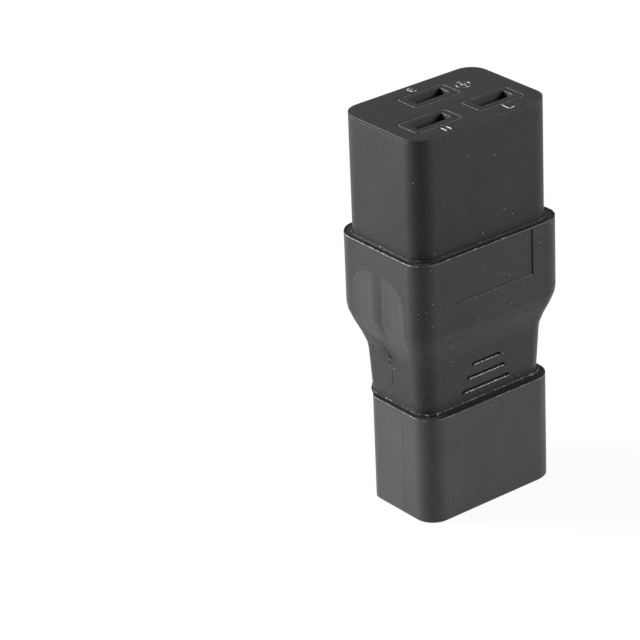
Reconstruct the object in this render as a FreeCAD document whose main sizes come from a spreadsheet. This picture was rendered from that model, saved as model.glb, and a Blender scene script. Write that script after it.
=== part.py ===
import FreeCAD, Part
import math
import os
import re

import Sketcher

# A one-piece mains adapter: a C14 inlet (three pins in a shroud) at the foot, a C19 outlet (three slots) at
# the head, and a moulded grip between them.  Millimetres.  Origin at the bottom centre of the shroud's rim,
# +Z up to the outlet's face, +X along the long side, +Y towards the earth pin and the chamfered corners.

VECTOR = FreeCAD.Vector
TOLERANCE = 0.01
VERTEX_TURN = 22.5  # half the turn at a 45 degree chamfer's vertex, in degrees
POLES = ("line", "neutral", "earth")

# ---------------------------------------------------------------- driving dimensions
DRIVING = (
    # levels above the rim
    ("overall_height", 68.0),
    ("shroud_height", 19.1),
    ("waist_head", 27.0),
    ("collar_foot", 35.0),
    ("collar_head", 47.2),
    # inlet shroud
    ("shroud_width", 27.3),
    ("shroud_depth", 19.8),
    ("shroud_chamfer", 5.8),
    ("shroud_front_radius", 3.6),
    ("shroud_back_radius", 2.0),
    ("shroud_wall", 1.5),
    ("shroud_floor", 2.3),
    ("rim_bevel", 0.25),
    ("shoulder_bevel", 0.4),
    # grip
    ("waist_foot_width", 25.4),
    ("waist_foot_depth", 16.6),
    ("waist_head_width", 26.2),
    ("waist_head_depth", 17.3),
    ("waist_chamfer", 3.2),
    ("waist_front_radius", 3.0),
    ("waist_back_radius", 1.6),
    ("collar_width", 30.4),
    ("collar_depth", 21.4),
    ("collar_radius", 3.2),
    ("collar_back_blend", 0.6),
    ("collar_edge_bevel", 0.3),
    ("lip_height", 0.35),
    ("lip_width", 0.3),
    ("groove_count", 3),
    ("groove_foot_rise", 2.1),
    ("groove_pitch", 2.3),
    ("groove_length", 10.0),
    ("groove_shortening", 2.0),
    ("groove_width", 0.6),
    ("groove_depth", 0.4),
    ("label_width", 17.2),
    ("label_height", 8.3),
    ("label_depth", 0.2),
    ("recess_width", 13.2),
    ("recess_head_drop", 4.2),
    ("recess_foot_drop", 1.3),
    ("recess_depth", 0.28),
    ("recess_foot_depth", 0.42),
    ("recess_corner_radius", 4.6),
    ("lobe_foot_rise", 0.2),
    ("dish_rise", 0.3),
    ("rib_width", 2.7),
    # inner core
    ("core_width", 21.0),
    ("core_depth", 13.2),
    ("core_radius", 2.0),
    ("pin_carrier_height", 5.5),
    # pins
    ("pin_pitch", 14.0),
    ("pin_row_front", 2.0),
    ("earth_pin_back", 2.0),
    ("pin_thickness", 2.0),
    ("pin_breadth", 4.0),
    ("pin_recess", 4.4),
    ("earth_pin_recess", 2.2),
    ("pin_tip_length", 1.2),
    ("pin_tip_bevel", 0.45),
    ("pin_slit_width", 0.16),
    ("pin_slit_depth", 3.1),
    ("pin_fold_radius", 0.8),
    # wires
    ("wire_diameter", 1.9),
    ("sleeve_diameter", 3.2),
    ("barrel_length", 3.5),
    # outlet
    ("nose_width", 27.9),
    ("nose_depth", 19.0),
    ("nose_radius", 3.3),
    ("nose_edge_bevel", 0.4),
    ("nose_skirt", 6.2),
    ("slot_pitch", 13.0),
    ("slot_row_front", 3.8),
    ("earth_slot_back", 4.1),
    ("slot_length", 6.8),
    ("slot_width", 2.45),
    ("tower_length", 9.6),
    ("tower_width", 4.85),
    ("tower_corner_radius", 0.4),
    ("window_gap", 0.08),
    ("tower_end_wall", 1.2),
    ("flange_width", 24.5),
    ("flange_depth", 15.5),
    ("flange_radius", 1.8),
    ("flange_height", 3.0),
    ("backplate_height", 3.0),
    # contacts
    ("contact_width", 6.2),
    ("contact_depth", 3.4),
    ("contact_thickness", 0.5),
    ("contact_pinch", 1.7),
    ("contact_mouth", 2.4),
    ("contact_clearance", 0.1),
    ("contact_mouth_drop", 2.2),
    ("contact_pinch_drop", 5.0),
    ("contact_leaf_rise", 5.0),
    # how far a cutting profile starts outside what it cuts
    ("run_in", 1.0),
)

# sections of the swell between waist and collar: share of its height
SWELL_STEPS = (0.0, 0.15, 0.38, 0.62, 0.85, 1.0)
COLLAR_CHAMFER_SHARE = 0.64  # of the collar's corner radius, so that its back corners read as round
COLLAR_BACK_SHARE = 0.9

# how the floor of a thumb recess is shared out along its height
ENTRY_SHARE = 0.77  # of the height above the swell: the hollow run-in from the collar's face
TURN_SHARE = 0.59  # of the S below it: the part that turns outwards
RIB_CREST_SHARE = 0.08  # of the S: where the rib's face starts to fall
RIB_FOOT_SHARE = 0.5  # of the S: where the rib has run out into the floor


def smooth_step(share):
    """Share of the width at a share of the height: an S with upright ends."""
    return share * share * (3.0 - 2.0 * share)


DERIVED = [
    ("shroud_half_depth", "shroud_depth / 2"),
    ("shroud_flat", f"shroud_width - 2 * shroud_chamfer - 2 * shroud_back_radius * tan({VERTEX_TURN})"),
    ("cavity_width", "shroud_width - 2 * shroud_wall"),
    ("cavity_half_depth", "shroud_depth / 2 - shroud_wall"),
    ("cavity_front_radius", "max(shroud_front_radius - shroud_wall; 0.3)"),
    ("cavity_back_radius", "max(shroud_back_radius - shroud_wall; 0.3)"),
    ("cavity_chamfer", "shroud_chamfer - shroud_wall * (2 - sqrt(2))"),
    ("cavity_flat", f"cavity_width - 2 * cavity_chamfer - 2 * cavity_back_radius * tan({VERTEX_TURN})"),
    ("cavity_height", "shroud_height - shroud_floor"),
    ("waist_height", "waist_head - shroud_height"),
    ("waist_foot_half_depth", "waist_foot_depth / 2"),
    ("waist_foot_flat", f"waist_foot_width - 2 * waist_chamfer - 2 * waist_back_radius * tan({VERTEX_TURN})"),
    ("waist_head_half_depth", "waist_head_depth / 2"),
    ("waist_head_flat", f"waist_head_width - 2 * waist_chamfer - 2 * waist_back_radius * tan({VERTEX_TURN})"),
    ("foot_lip_width", "waist_foot_width + 2 * lip_width"),
    ("foot_lip_half_depth", "waist_foot_half_depth + lip_width"),
    ("foot_lip_flat", "waist_foot_flat + 2 * lip_width * (sqrt(2) - 1)"),
    ("collar_half_depth", "collar_depth / 2"),
    ("collar_height", "collar_head - collar_foot"),
    ("collar_back_radius", f"(collar_radius + collar_back_blend) * {COLLAR_BACK_SHARE}"),
    ("collar_chamfer", f"(collar_radius + collar_back_blend) * {COLLAR_CHAMFER_SHARE}"),
    ("collar_flat", f"collar_width - 2 * collar_chamfer - 2 * collar_back_radius * tan({VERTEX_TURN})"),
    ("head_lip_width", "nose_width + 2 * lip_width"),
    ("head_lip_depth", "nose_depth + 2 * lip_width"),
    ("head_lip_radius", "nose_radius + lip_width"),
    ("carrier_head", "shroud_height + pin_carrier_height"),
    ("pin_barrel_head", "carrier_head + barrel_length"),
    ("nose_foot", "collar_head - nose_skirt"),
    ("contact_barrel_foot", "nose_foot - barrel_length"),
    ("core_height", "nose_foot - shroud_height"),
    ("mould_height", "nose_foot - carrier_head"),
    ("nose_height", "overall_height - nose_foot"),
    ("flange_foot", "nose_foot + backplate_height"),
    ("flange_head", "flange_foot + flange_height"),
    ("flange_cavity_height", "flange_head - nose_foot"),
    ("tower_height", "overall_height - flange_head"),
    ("tower_end_foot", "overall_height - tower_end_wall"),
    ("chamber_length", "max(slot_length; contact_width) + contact_clearance"),
    ("chamber_width", "max(contact_depth; contact_mouth + 2 * contact_thickness) + 2 * contact_clearance"),
    ("chamber_height", "tower_end_foot - flange_foot"),
    ("window_length", "tower_length + 2 * window_gap"),
    ("window_width", "tower_width + 2 * window_gap"),
    ("window_corner_radius", "tower_corner_radius + window_gap"),
    ("pin_hole_height", "shroud_floor + pin_carrier_height"),
    ("pin_half_pitch", "pin_pitch / 2"),
    ("slot_half_pitch", "slot_pitch / 2"),
    ("recess_head", "collar_head - recess_head_drop"),
    ("recess_foot", "waist_head - recess_foot_drop"),
    ("recess_half_width", "recess_width / 2"),
    ("ramp_limit", "collar_width / 2 + run_in"),
    ("lobe_face", "collar_width / 2 - recess_depth"),
    ("lobe_foot", "collar_foot + lobe_foot_rise"),
    ("lobe_head", f"recess_head - (recess_head - lobe_foot) * {ENTRY_SHARE}"),
    ("entry_radius", "((recess_head - lobe_head) ^ 2 + recess_depth ^ 2) / (2 * recess_depth)"),
    ("dish_face", "waist_head_width / 2 - recess_foot_depth"),
    ("dish_level", "waist_head + dish_rise"),
    ("floor_fall", "lobe_foot - dish_level"),
    ("floor_turns", "((lobe_face - dish_face) ^ 2 + floor_fall ^ 2) / (2 * (lobe_face - dish_face))"),
    ("turn_radius", f"floor_turns * {TURN_SHARE}"),
    ("dish_radius", "floor_turns - turn_radius"),
    ("bend_level", f"lobe_foot - floor_fall * {TURN_SHARE}"),
    ("bend_face", "lobe_face - turn_radius + sqrt(turn_radius ^ 2 - (lobe_foot - bend_level) ^ 2)"),
    ("foot_face", "dish_face + dish_radius - sqrt(dish_radius ^ 2 - (dish_level - recess_foot) ^ 2)"),
    ("rib_crest", f"lobe_foot - floor_fall * {RIB_CREST_SHARE}"),
    ("rib_foot", f"lobe_foot - floor_fall * {RIB_FOOT_SHARE}"),
    ("rib_root", "lobe_face - turn_radius + sqrt(turn_radius ^ 2 - (lobe_foot - rib_foot) ^ 2) - 0.05"),
    ("pin_tip_thickness", "pin_thickness - 2 * pin_tip_bevel"),
    ("pin_tip_breadth", "pin_breadth - 2 * pin_tip_bevel"),
    ("pin_tip_fold_radius", "pin_fold_radius - pin_tip_bevel"),
    ("nose_seat_height", "nose_skirt + lip_height"),
    ("label_plane", "collar_half_depth + run_in"),
    ("label_cut", "label_depth + run_in"),
    ("groove_cut", "groove_depth + run_in"),
]
for number in range(dict(DRIVING)["groove_count"]):
    DERIVED += [
        (f"groove_level_{number}", f"shroud_height + groove_foot_rise + {number} * groove_pitch"),
        (f"groove_half_run_{number}", f"(groove_length - {number} * groove_shortening) / 2"),
        (f"groove_plane_{number}",
         "run_in + waist_foot_half_depth + (waist_head_half_depth - waist_foot_half_depth)"
         f" * (groove_level_{number} - shroud_height) / waist_height"),
    ]
for step, share in enumerate(SWELL_STEPS):
    eased = round(smooth_step(share), 4)
    DERIVED += [
        (f"swell_level_{step}", f"waist_head + (collar_foot - waist_head) * {share}"),
        (f"swell_width_{step}", f"waist_head_width + (collar_width - waist_head_width) * {eased}"),
        (f"swell_half_depth_{step}", f"(waist_head_depth + (collar_depth - waist_head_depth) * {eased}) / 2"),
        (f"swell_chamfer_{step}", f"waist_chamfer + (collar_chamfer - waist_chamfer) * {eased}"),
        (f"swell_front_radius_{step}", f"waist_front_radius + (collar_radius - waist_front_radius) * {eased}"),
        (f"swell_back_radius_{step}", f"waist_back_radius + (collar_back_radius - waist_back_radius) * {eased}"),
        (f"swell_flat_{step}",
         f"swell_width_{step} - 2 * swell_chamfer_{step} - 2 * swell_back_radius_{step} * tan({VERTEX_TURN})"),
    ]

doc = FreeCAD.newDocument("adapter")
sheet = doc.addObject("Spreadsheet::Sheet", "sizes")


def fill_sheet():
    """One row per size: its name, then its value or formula, which carries the name as an alias."""
    rows = [(name, str(value)) for name, value in DRIVING]
    rows += [(name, "=" + formula) for name, formula in DERIVED]
    for row, (name, content) in enumerate(rows, start=1):
        sheet.set(f"A{row}", name)
        sheet.set(f"B{row}", content)
        sheet.setAlias(f"B{row}", name)
    doc.recompute()


def spelled(formula):
    """A formula over named sizes, with each name written as the cell of the sheet that it is."""
    names = {name for name, _ in DRIVING} | {name for name, _ in DERIVED}
    return re.sub(r"[a-z]\w*", lambda word: f"sizes.{word[0]}" if word[0] in names else word[0], formula)


def size(formula):
    """The value of a named size, or of a formula over them."""
    return float(sheet.evalExpression(spelled(formula)))


def bind(thing, prop, formula):
    """Ties a property to a named size, or to a formula over them."""
    thing.setExpression(prop, spelled(formula))


# ---------------------------------------------------------------- bodies, sketches and outlines
def new_body(label):
    """A PartDesign body whose label names its file."""
    body = doc.addObject("PartDesign::Body", label)
    body.Label = label
    return body


def new_sketch(body, name, role, level=None):
    """A sketch on one of the body's own origin planes, moved along its normal to a named level."""
    sketch = body.newObject("Sketcher::SketchObject", name)
    plane = next(item for item in body.Origin.OriginFeatures if item.Role == role)
    sketch.AttachmentSupport = [(plane, "")]
    sketch.MapMode = "FlatFace"
    if level:
        bind(sketch, "AttachmentOffset.Base.z", level)
    return sketch


def line(start, end):
    return Part.LineSegment(VECTOR(start[0], start[1], 0), VECTOR(end[0], end[1], 0))


def arc(centre, radius, first, last):
    """A circular arc, its angles in degrees."""
    circle = Part.Circle(VECTOR(centre[0], centre[1], 0), VECTOR(0, 0, 1), radius)
    return Part.ArcOfCircle(circle, math.radians(first), math.radians(last))


def name_dimensions(sketch, dimensions):
    """Adds each dimension, names it and ties it to a size."""
    for label, constraint, alias in dimensions:
        index = sketch.addConstraint(constraint)
        sketch.renameConstraint(index, label)
        bind(sketch, f".Constraints.{label}", alias)


def close_smoothly(sketch, geometry):
    """Adds the edges and makes each run on from the one before it without a corner."""
    sketch.addGeometry(geometry, False)
    count = len(geometry)
    sketch.addConstraint([Sketcher.Constraint("Tangent", edge, 2, (edge + 1) % count, 1) for edge in range(count)])


def keyed_outline(body, name, level, width, half_depth, flat, front_radius, back_radius):
    """The inlet's outline: round front corners, and 45 degree chamfers at the two back corners."""
    sketch = new_sketch(body, name, "XY_Plane", level)
    half = size(width) / 2
    reach = size(half_depth)
    front = size(front_radius)
    back = size(back_radius)
    end = size(flat) / 2
    turn = math.radians(VERTEX_TURN)
    side_top = reach - (half - end - back * math.tan(turn)) - back * math.tan(turn)
    slope = back * math.sqrt(0.5)
    close_smoothly(sketch, [
        line((front - half, -reach), (half - front, -reach)),
        arc((half - front, front - reach), front, -90, 0),
        line((half, front - reach), (half, side_top)),
        arc((half - back, side_top), back, 0, 45),
        line((half - back + slope, side_top + slope), (end + slope, reach - back + slope)),
        arc((end, reach - back), back, 45, 90),
        line((end, reach), (-end, reach)),
        arc((-end, reach - back), back, 90, 135),
        line((-end - slope, reach - back + slope), (back - half - slope, side_top + slope)),
        arc((back - half, side_top), back, 135, 180),
        line((-half, side_top), (-half, front - reach)),
        arc((front - half, front - reach), front, 180, 270),
    ])
    rule = Sketcher.Constraint
    sketch.addConstraint([
        rule("Symmetric", 0, 1, 0, 2, -2),
        rule("Symmetric", 6, 1, 6, 2, -2),
        rule("Vertical", 2),
        rule("Vertical", 10),
        rule("Equal", 1, 11),
        rule("Equal", 3, 5),
        rule("Equal", 3, 7),
        rule("Equal", 3, 9),
        rule("Angle", 4, math.radians(135)),
        rule("Angle", 8, math.radians(-135)),
    ])
    name_dimensions(sketch, (
        ("across", rule("DistanceX", 10, 1, 2, 1, 2 * half), width),
        ("front", rule("DistanceY", 0, 1, -1, 1, reach), half_depth),
        ("back", rule("DistanceY", -1, 1, 6, 1, reach), half_depth),
        ("flat", rule("DistanceX", 6, 2, 6, 1, 2 * end), flat),
        ("front_radius", rule("Radius", 1, front), front_radius),
        ("back_radius", rule("Radius", 3, back), back_radius),
    ))
    return sketch


def round_box(sketch, width, depth, radius, place=(None, None)):
    """Adds a rectangle with round corners, its centre at a named place or on the axis."""
    start = sketch.GeometryCount
    half = size(width) / 2
    reach = size(depth) / 2
    corner = size(radius)
    at_x, at_y = centre_of(place)
    edges = [
        line((at_x + corner - half, at_y - reach), (at_x + half - corner, at_y - reach)),
        arc((at_x + half - corner, at_y + corner - reach), corner, -90, 0),
        line((at_x + half, at_y + corner - reach), (at_x + half, at_y + reach - corner)),
        arc((at_x + half - corner, at_y + reach - corner), corner, 0, 90),
        line((at_x + half - corner, at_y + reach), (at_x + corner - half, at_y + reach)),
        arc((at_x + corner - half, at_y + reach - corner), corner, 90, 180),
        line((at_x - half, at_y + reach - corner), (at_x - half, at_y + corner - reach)),
        arc((at_x + corner - half, at_y + corner - reach), corner, 180, 270),
    ]
    sketch.addGeometry(edges, False)
    rule = Sketcher.Constraint
    count = len(edges)
    sketch.addConstraint(
        [rule("Tangent", start + edge, 2, start + (edge + 1) % count, 1) for edge in range(count)]
        + [rule("Equal", start + 1, start + edge) for edge in (3, 5, 7)]
        + [rule("Horizontal", start), rule("Vertical", start + 2), rule("Horizontal", start + 4),
           rule("Vertical", start + 6)])
    tag = f"box{start}"
    name_dimensions(sketch, (
        (f"{tag}_across", rule("DistanceX", start + 6, 1, start + 2, 1, 2 * half), width),
        (f"{tag}_deep", rule("DistanceY", start, 1, start + 4, 1, 2 * reach), depth),
        (f"{tag}_radius", rule("Radius", start + 1, corner), radius),
    ))
    mark = sketch.addGeometry(Part.Point(VECTOR(at_x, at_y, 0)), True)
    sketch.addConstraint(rule("Symmetric", start, 1, start + 4, 1, mark, 1))
    pin_down(sketch, mark, 1, place, tag)
    return sketch


# a place in plan: for each axis None (on the axis), or a sign and the size that gives the distance
PIN_PLACES = {
    "line": ((1, "pin_half_pitch"), (-1, "pin_row_front")),
    "neutral": ((-1, "pin_half_pitch"), (-1, "pin_row_front")),
    "earth": (None, (1, "earth_pin_back")),
}
PIN_SECTION = ("pin_thickness", "pin_breadth", "pin_fold_radius")
SLOT_PLACES = {
    "line": ((1, "slot_half_pitch"), (-1, "slot_row_front")),
    "neutral": ((-1, "slot_half_pitch"), (-1, "slot_row_front")),
    "earth": (None, (1, "earth_slot_back")),
}


def centre_of(place):
    """The coordinates of a place in plan."""
    return tuple(item[0] * size(item[1]) if item else 0.0 for item in place)


def place_formulas(place):
    """The coordinates of a place in plan, as formulas over the sizes."""
    return tuple(f"{item[0]} * {item[1]}" if item else "0" for item in place)


def pin_down(sketch, element, point, place, tag):
    """Fixes a sketch point at a place in plan by named distances from the origin."""
    rule = Sketcher.Constraint
    for axis, item in zip("XY", place):
        if item is None:
            sketch.addConstraint(rule("PointOnObject", element, point, -2 if axis == "X" else -1))
            continue
        sign, alias = item
        ends = (-1, 1, element, point) if sign > 0 else (element, point, -1, 1)
        name_dimensions(sketch, ((f"{tag}_at_{axis}", rule(f"Distance{axis}", *ends, size(alias)), alias),))


def disc(sketch, diameter, place):
    """Adds a circle of a named diameter at a place in plan."""
    at_x, at_y = centre_of(place)
    circle = Part.Circle(VECTOR(at_x, at_y, 0), VECTOR(0, 0, 1), size(diameter) / 2)
    edge = sketch.addGeometry(circle, False)
    rule = Sketcher.Constraint
    name_dimensions(sketch, ((f"disc{edge}_across", rule("Diameter", edge, size(diameter)), diameter),))
    pin_down(sketch, edge, 3, place, f"disc{edge}")


def tie_point(sketch, element, point, corner, tag):
    """Fixes a sketch point at two coordinates, each a formula over the sizes."""
    rule = Sketcher.Constraint
    for axis, formula in zip("XY", corner):
        value = size(formula)
        if abs(value) < TOLERANCE:
            sketch.addConstraint(rule("PointOnObject", element, point, -2 if axis == "X" else -1))
        elif value > 0:
            constraint = rule(f"Distance{axis}", -1, 1, element, point, value)
            name_dimensions(sketch, ((f"{tag}_{axis}", constraint, formula),))
        else:
            constraint = rule(f"Distance{axis}", element, point, -1, 1, -value)
            name_dimensions(sketch, ((f"{tag}_{axis}", constraint, f"-({formula})"),))


def polygon(sketch, corners):
    """Adds straight edges through corners whose coordinates are formulas over the sizes, and closes them."""
    start = sketch.GeometryCount
    points = [(size(across), size(up)) for across, up in corners]
    count = len(points)
    sketch.addGeometry([line(points[k], points[(k + 1) % count]) for k in range(count)], False)
    rule = Sketcher.Constraint
    sketch.addConstraint([rule("Coincident", start + k, 2, start + (k + 1) % count, 1) for k in range(count)])
    for number, corner in enumerate(corners, start=start):
        tie_point(sketch, number, 1, corner, f"corner{number}")


def sharp_box(sketch, width, depth, place):
    """Adds a rectangle with sharp corners, its centre at a named place."""
    at_x, at_y = place_formulas(place)
    polygon(sketch, (
        (f"{at_x} - {width} / 2", f"{at_y} - {depth} / 2"),
        (f"{at_x} + {width} / 2", f"{at_y} - {depth} / 2"),
        (f"{at_x} + {width} / 2", f"{at_y} + {depth} / 2"),
        (f"{at_x} - {width} / 2", f"{at_y} + {depth} / 2"),
    ))


def folded_strip(sketch, thickness, breadth, radius, place):
    """Adds the outline of a strip folded double: round at the fold, which is in front, sharp at the back."""
    start = sketch.GeometryCount
    half = size(thickness) / 2
    reach = size(breadth) / 2
    corner = size(radius)
    at_x, at_y = centre_of(place)
    edges = [
        line((at_x + corner - half, at_y - reach), (at_x + half - corner, at_y - reach)),
        arc((at_x + half - corner, at_y + corner - reach), corner, -90, 0),
        line((at_x + half, at_y + corner - reach), (at_x + half, at_y + reach)),
        line((at_x + half, at_y + reach), (at_x - half, at_y + reach)),
        line((at_x - half, at_y + reach), (at_x - half, at_y + corner - reach)),
        arc((at_x + corner - half, at_y + corner - reach), corner, 180, 270),
    ]
    sketch.addGeometry(edges, False)
    rule = Sketcher.Constraint
    sketch.addConstraint([
        rule("Tangent", start, 2, start + 1, 1),
        rule("Tangent", start + 1, 2, start + 2, 1),
        rule("Coincident", start + 2, 2, start + 3, 1),
        rule("Coincident", start + 3, 2, start + 4, 1),
        rule("Tangent", start + 4, 2, start + 5, 1),
        rule("Tangent", start + 5, 2, start, 1),
        rule("Equal", start + 1, start + 5),
        rule("Horizontal", start),
        rule("Vertical", start + 2),
        rule("Vertical", start + 4),
    ])
    name_dimensions(sketch, ((f"fold{start}", rule("Radius", start + 1, corner), radius),))
    across, up = place_formulas(place)
    back = f"{up} + {breadth} / 2"
    tie_point(sketch, start + 3, 1, (f"{across} + {thickness} / 2", back), f"right{start}")
    tie_point(sketch, start + 3, 2, (f"{across} - {thickness} / 2", back), f"left{start}")
    mark = sketch.addGeometry(Part.Point(VECTOR(at_x, at_y - reach, 0)), True)
    sketch.addConstraint(rule("PointOnObject", mark, 1, start))
    tie_point(sketch, mark, 1, (across, f"{up} - {breadth} / 2"), f"front{start}")


# ---------------------------------------------------------------- features
def pad(body, sketch, name, length, midplane=False):
    feature = body.newObject("PartDesign::Pad", name)
    feature.Profile = sketch
    feature.Midplane = midplane
    bind(feature, "Length", length)
    doc.recompute()
    return feature


def pocket(body, sketch, name, length, upwards=True):
    """Cuts along the sketch's normal (upwards) or against it, and checks that something was cut."""
    before = body.Tip.Shape.Volume
    feature = body.newObject("PartDesign::Pocket", name)
    feature.Profile = sketch
    feature.Reversed = upwards
    bind(feature, "Length", length)
    doc.recompute()
    if feature.Shape.Volume >= before - TOLERANCE:
        raise RuntimeError(f"{body.Label}: {name} cuts nothing")
    return feature


def loft(body, kind, name, sections):
    """An AdditiveLoft or SubtractiveLoft, straight between one section and the next."""
    feature = body.newObject(f"PartDesign::{kind}Loft", name)
    feature.Profile = sections[0]
    feature.Sections = sections[1:]
    feature.Ruled = True
    doc.recompute()
    return feature


def ring_edges(feature, level, clear_x=0.0, clear_y=0.0):
    """Names of the edges that lie flat at a level, outside a rectangle about the axis."""
    names = []
    for number, edge in enumerate(feature.Shape.Edges, start=1):
        box = edge.BoundBox
        if abs(box.ZMin - level) > TOLERANCE or abs(box.ZMax - level) > TOLERANCE:
            continue
        if max(abs(box.XMin), abs(box.XMax)) > clear_x or max(abs(box.YMin), abs(box.YMax)) > clear_y:
            names.append(f"Edge{number}")
    return names


def bevel_edges(body, name, width, edges):
    base = body.Tip
    feature = body.newObject("PartDesign::Chamfer", name)
    feature.Base = (base, edges)
    bind(feature, "Size", width)
    doc.recompute()


def three_outlines(body, name, level, places, outline, *sizes):
    """One sketch with the same outline at the line, neutral and earth places."""
    sketch = new_sketch(body, name, "XY_Plane", level)
    for pole in POLES:
        outline(sketch, *sizes, places[pole])
    return sketch


# ---------------------------------------------------------------- the inlet
def make_inlet_shroud():
    """Shroud of the C14 inlet: keyed tube with a floor that the pins pass through."""
    body = new_body("inlet_shroud")
    outside = keyed_outline(body, "shroud_outline", None, "shroud_width", "shroud_half_depth", "shroud_flat",
                            "shroud_front_radius", "shroud_back_radius")
    pad(body, outside, "shroud_block", "shroud_height")
    inside = keyed_outline(body, "cavity_outline", None, "cavity_width", "cavity_half_depth", "cavity_flat",
                           "cavity_front_radius", "cavity_back_radius")
    pocket(body, inside, "cavity", "cavity_height")
    holes = three_outlines(body, "shroud_pin_holes", "cavity_height", PIN_PLACES, folded_strip, *PIN_SECTION)
    pocket(body, holes, "pin_holes", "shroud_floor")
    shoulder = ring_edges(body.Tip, size("shroud_height"), size("core_width") / 2, size("core_depth") / 2)
    bevel_edges(body, "shoulder_bevels", "shoulder_bevel", shoulder)
    bevel_edges(body, "rim_bevels", "rim_bevel", ring_edges(body.Tip, 0.0))
    return body


def make_pin_carrier():
    """Insulating bridge behind the shroud's floor, with a hole for each pin."""
    body = new_body("pin_carrier")
    outline = new_sketch(body, "carrier_outline", "XY_Plane", "shroud_height")
    round_box(outline, "core_width", "core_depth", "core_radius")
    pad(body, outline, "carrier_block", "pin_carrier_height")
    holes = three_outlines(body, "carrier_pin_holes", "shroud_height", PIN_PLACES, folded_strip, *PIN_SECTION)
    pocket(body, holes, "pin_holes", "pin_carrier_height")
    return body


def make_pin(pole):
    """Contact pin: a strip folded double, with a bevelled tip and a crimp barrel at its root."""
    recess = "earth_pin_recess" if pole == "earth" else "pin_recess"
    place = PIN_PLACES[pole]
    body = new_body(f"{pole}_pin")
    end = new_sketch(body, f"{pole}_tip_outline", "XY_Plane", recess)
    folded_strip(end, "pin_tip_thickness", "pin_tip_breadth", "pin_tip_fold_radius", place)
    root = new_sketch(body, f"{pole}_tip_root_outline", "XY_Plane", f"{recess} + pin_tip_length")
    folded_strip(root, *PIN_SECTION, place)
    doc.recompute()
    loft(body, "Additive", f"{pole}_tip", [end, root])
    blade = new_sketch(body, f"{pole}_blade_outline", "XY_Plane", f"{recess} + pin_tip_length")
    folded_strip(blade, *PIN_SECTION, place)
    pad(body, blade, f"{pole}_blade", f"carrier_head - {recess} - pin_tip_length")
    slit = new_sketch(body, f"{pole}_slit_outline", "XY_Plane", recess)
    at_x, at_y = place_formulas(place)
    back = f"{at_y} + pin_breadth / 2"
    polygon(slit, (
        (f"{at_x} - pin_slit_width / 2", f"{back} - pin_slit_depth"),
        (f"{at_x} + pin_slit_width / 2", f"{back} - pin_slit_depth"),
        (f"{at_x} + pin_slit_width / 2", back),
        (f"{at_x} - pin_slit_width / 2", back),
    ))
    pocket(body, slit, f"{pole}_slit", f"cavity_height - {recess}")
    barrel = new_sketch(body, f"{pole}_barrel_outline", "XY_Plane", "carrier_head")
    disc(barrel, "sleeve_diameter", place)
    disc(barrel, "wire_diameter", place)
    pad(body, barrel, f"{pole}_barrel", "barrel_length")
    return body


# ---------------------------------------------------------------- the wires between
def wire_stations(pole):
    """Where a wire's line bends: level and place, from the pin's barrel to the contact's."""
    return (
        ("carrier_head", PIN_PLACES[pole]),
        ("pin_barrel_head", PIN_PLACES[pole]),
        ("contact_barrel_foot", SLOT_PLACES[pole]),
        ("nose_foot", SLOT_PLACES[pole]),
    )


def wire_sections(body, name, stations, diameter):
    """A circle of a named diameter at each station."""
    sections = []
    for number, (level, place) in enumerate(stations):
        sketch = new_sketch(body, f"{name}_{number}", "XY_Plane", level)
        disc(sketch, diameter, place)
        sections.append(sketch)
    doc.recompute()
    return sections


def make_wire(pole):
    """Stranded conductor, from inside the pin's barrel to inside the contact's."""
    body = new_body(f"{pole}_wire")
    sections = wire_sections(body, f"{pole}_wire_section", wire_stations(pole), "wire_diameter")
    loft(body, "Additive", f"{pole}_conductor", sections)
    return body


def make_sleeve(pole):
    """Insulation on the wire, between the two barrels."""
    body = new_body(f"{pole}_sleeve")
    middle = wire_stations(pole)[1:3]
    outer = wire_sections(body, f"{pole}_sleeve_section", middle, "sleeve_diameter")
    loft(body, "Additive", f"{pole}_insulation", outer)
    inner = wire_sections(body, f"{pole}_sleeve_bore_section", middle, "wire_diameter")
    loft(body, "Subtractive", f"{pole}_sleeve_bore", inner)
    return body


def make_inner_mould():
    """Hard filling round the barrels and wires, under the grip."""
    body = new_body("inner_mould")
    outline = new_sketch(body, "mould_outline", "XY_Plane", "carrier_head")
    round_box(outline, "core_width", "core_depth", "core_radius")
    pad(body, outline, "mould_block", "mould_height")
    for pole in POLES:
        sections = wire_sections(body, f"{pole}_channel_section", wire_stations(pole), "sleeve_diameter")
        loft(body, "Subtractive", f"{pole}_channel", sections)
    return body


# ---------------------------------------------------------------- the outlet
def leaf_corners(centre, side):
    """One contact leaf seen along X: upright from the web, pinched in, and flared out at its mouth."""
    web = "(flange_foot + contact_thickness)"
    pinch_level = "tower_end_foot - contact_pinch_drop"
    mouth_level = "tower_end_foot - contact_mouth_drop"
    profile = (
        ("(contact_depth / 2 - contact_thickness)", web),
        ("(contact_depth / 2 - contact_thickness)", f"{web} + contact_leaf_rise"),
        ("contact_pinch / 2", pinch_level),
        ("contact_mouth / 2", mouth_level),
        ("(contact_mouth / 2 + contact_thickness)", mouth_level),
        ("(contact_pinch / 2 + contact_thickness)", pinch_level),
        ("contact_depth / 2", f"{web} + contact_leaf_rise"),
        ("contact_depth / 2", web),
    )
    return [(f"{centre} + {side} * {across}", level) for across, level in profile]


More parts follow.
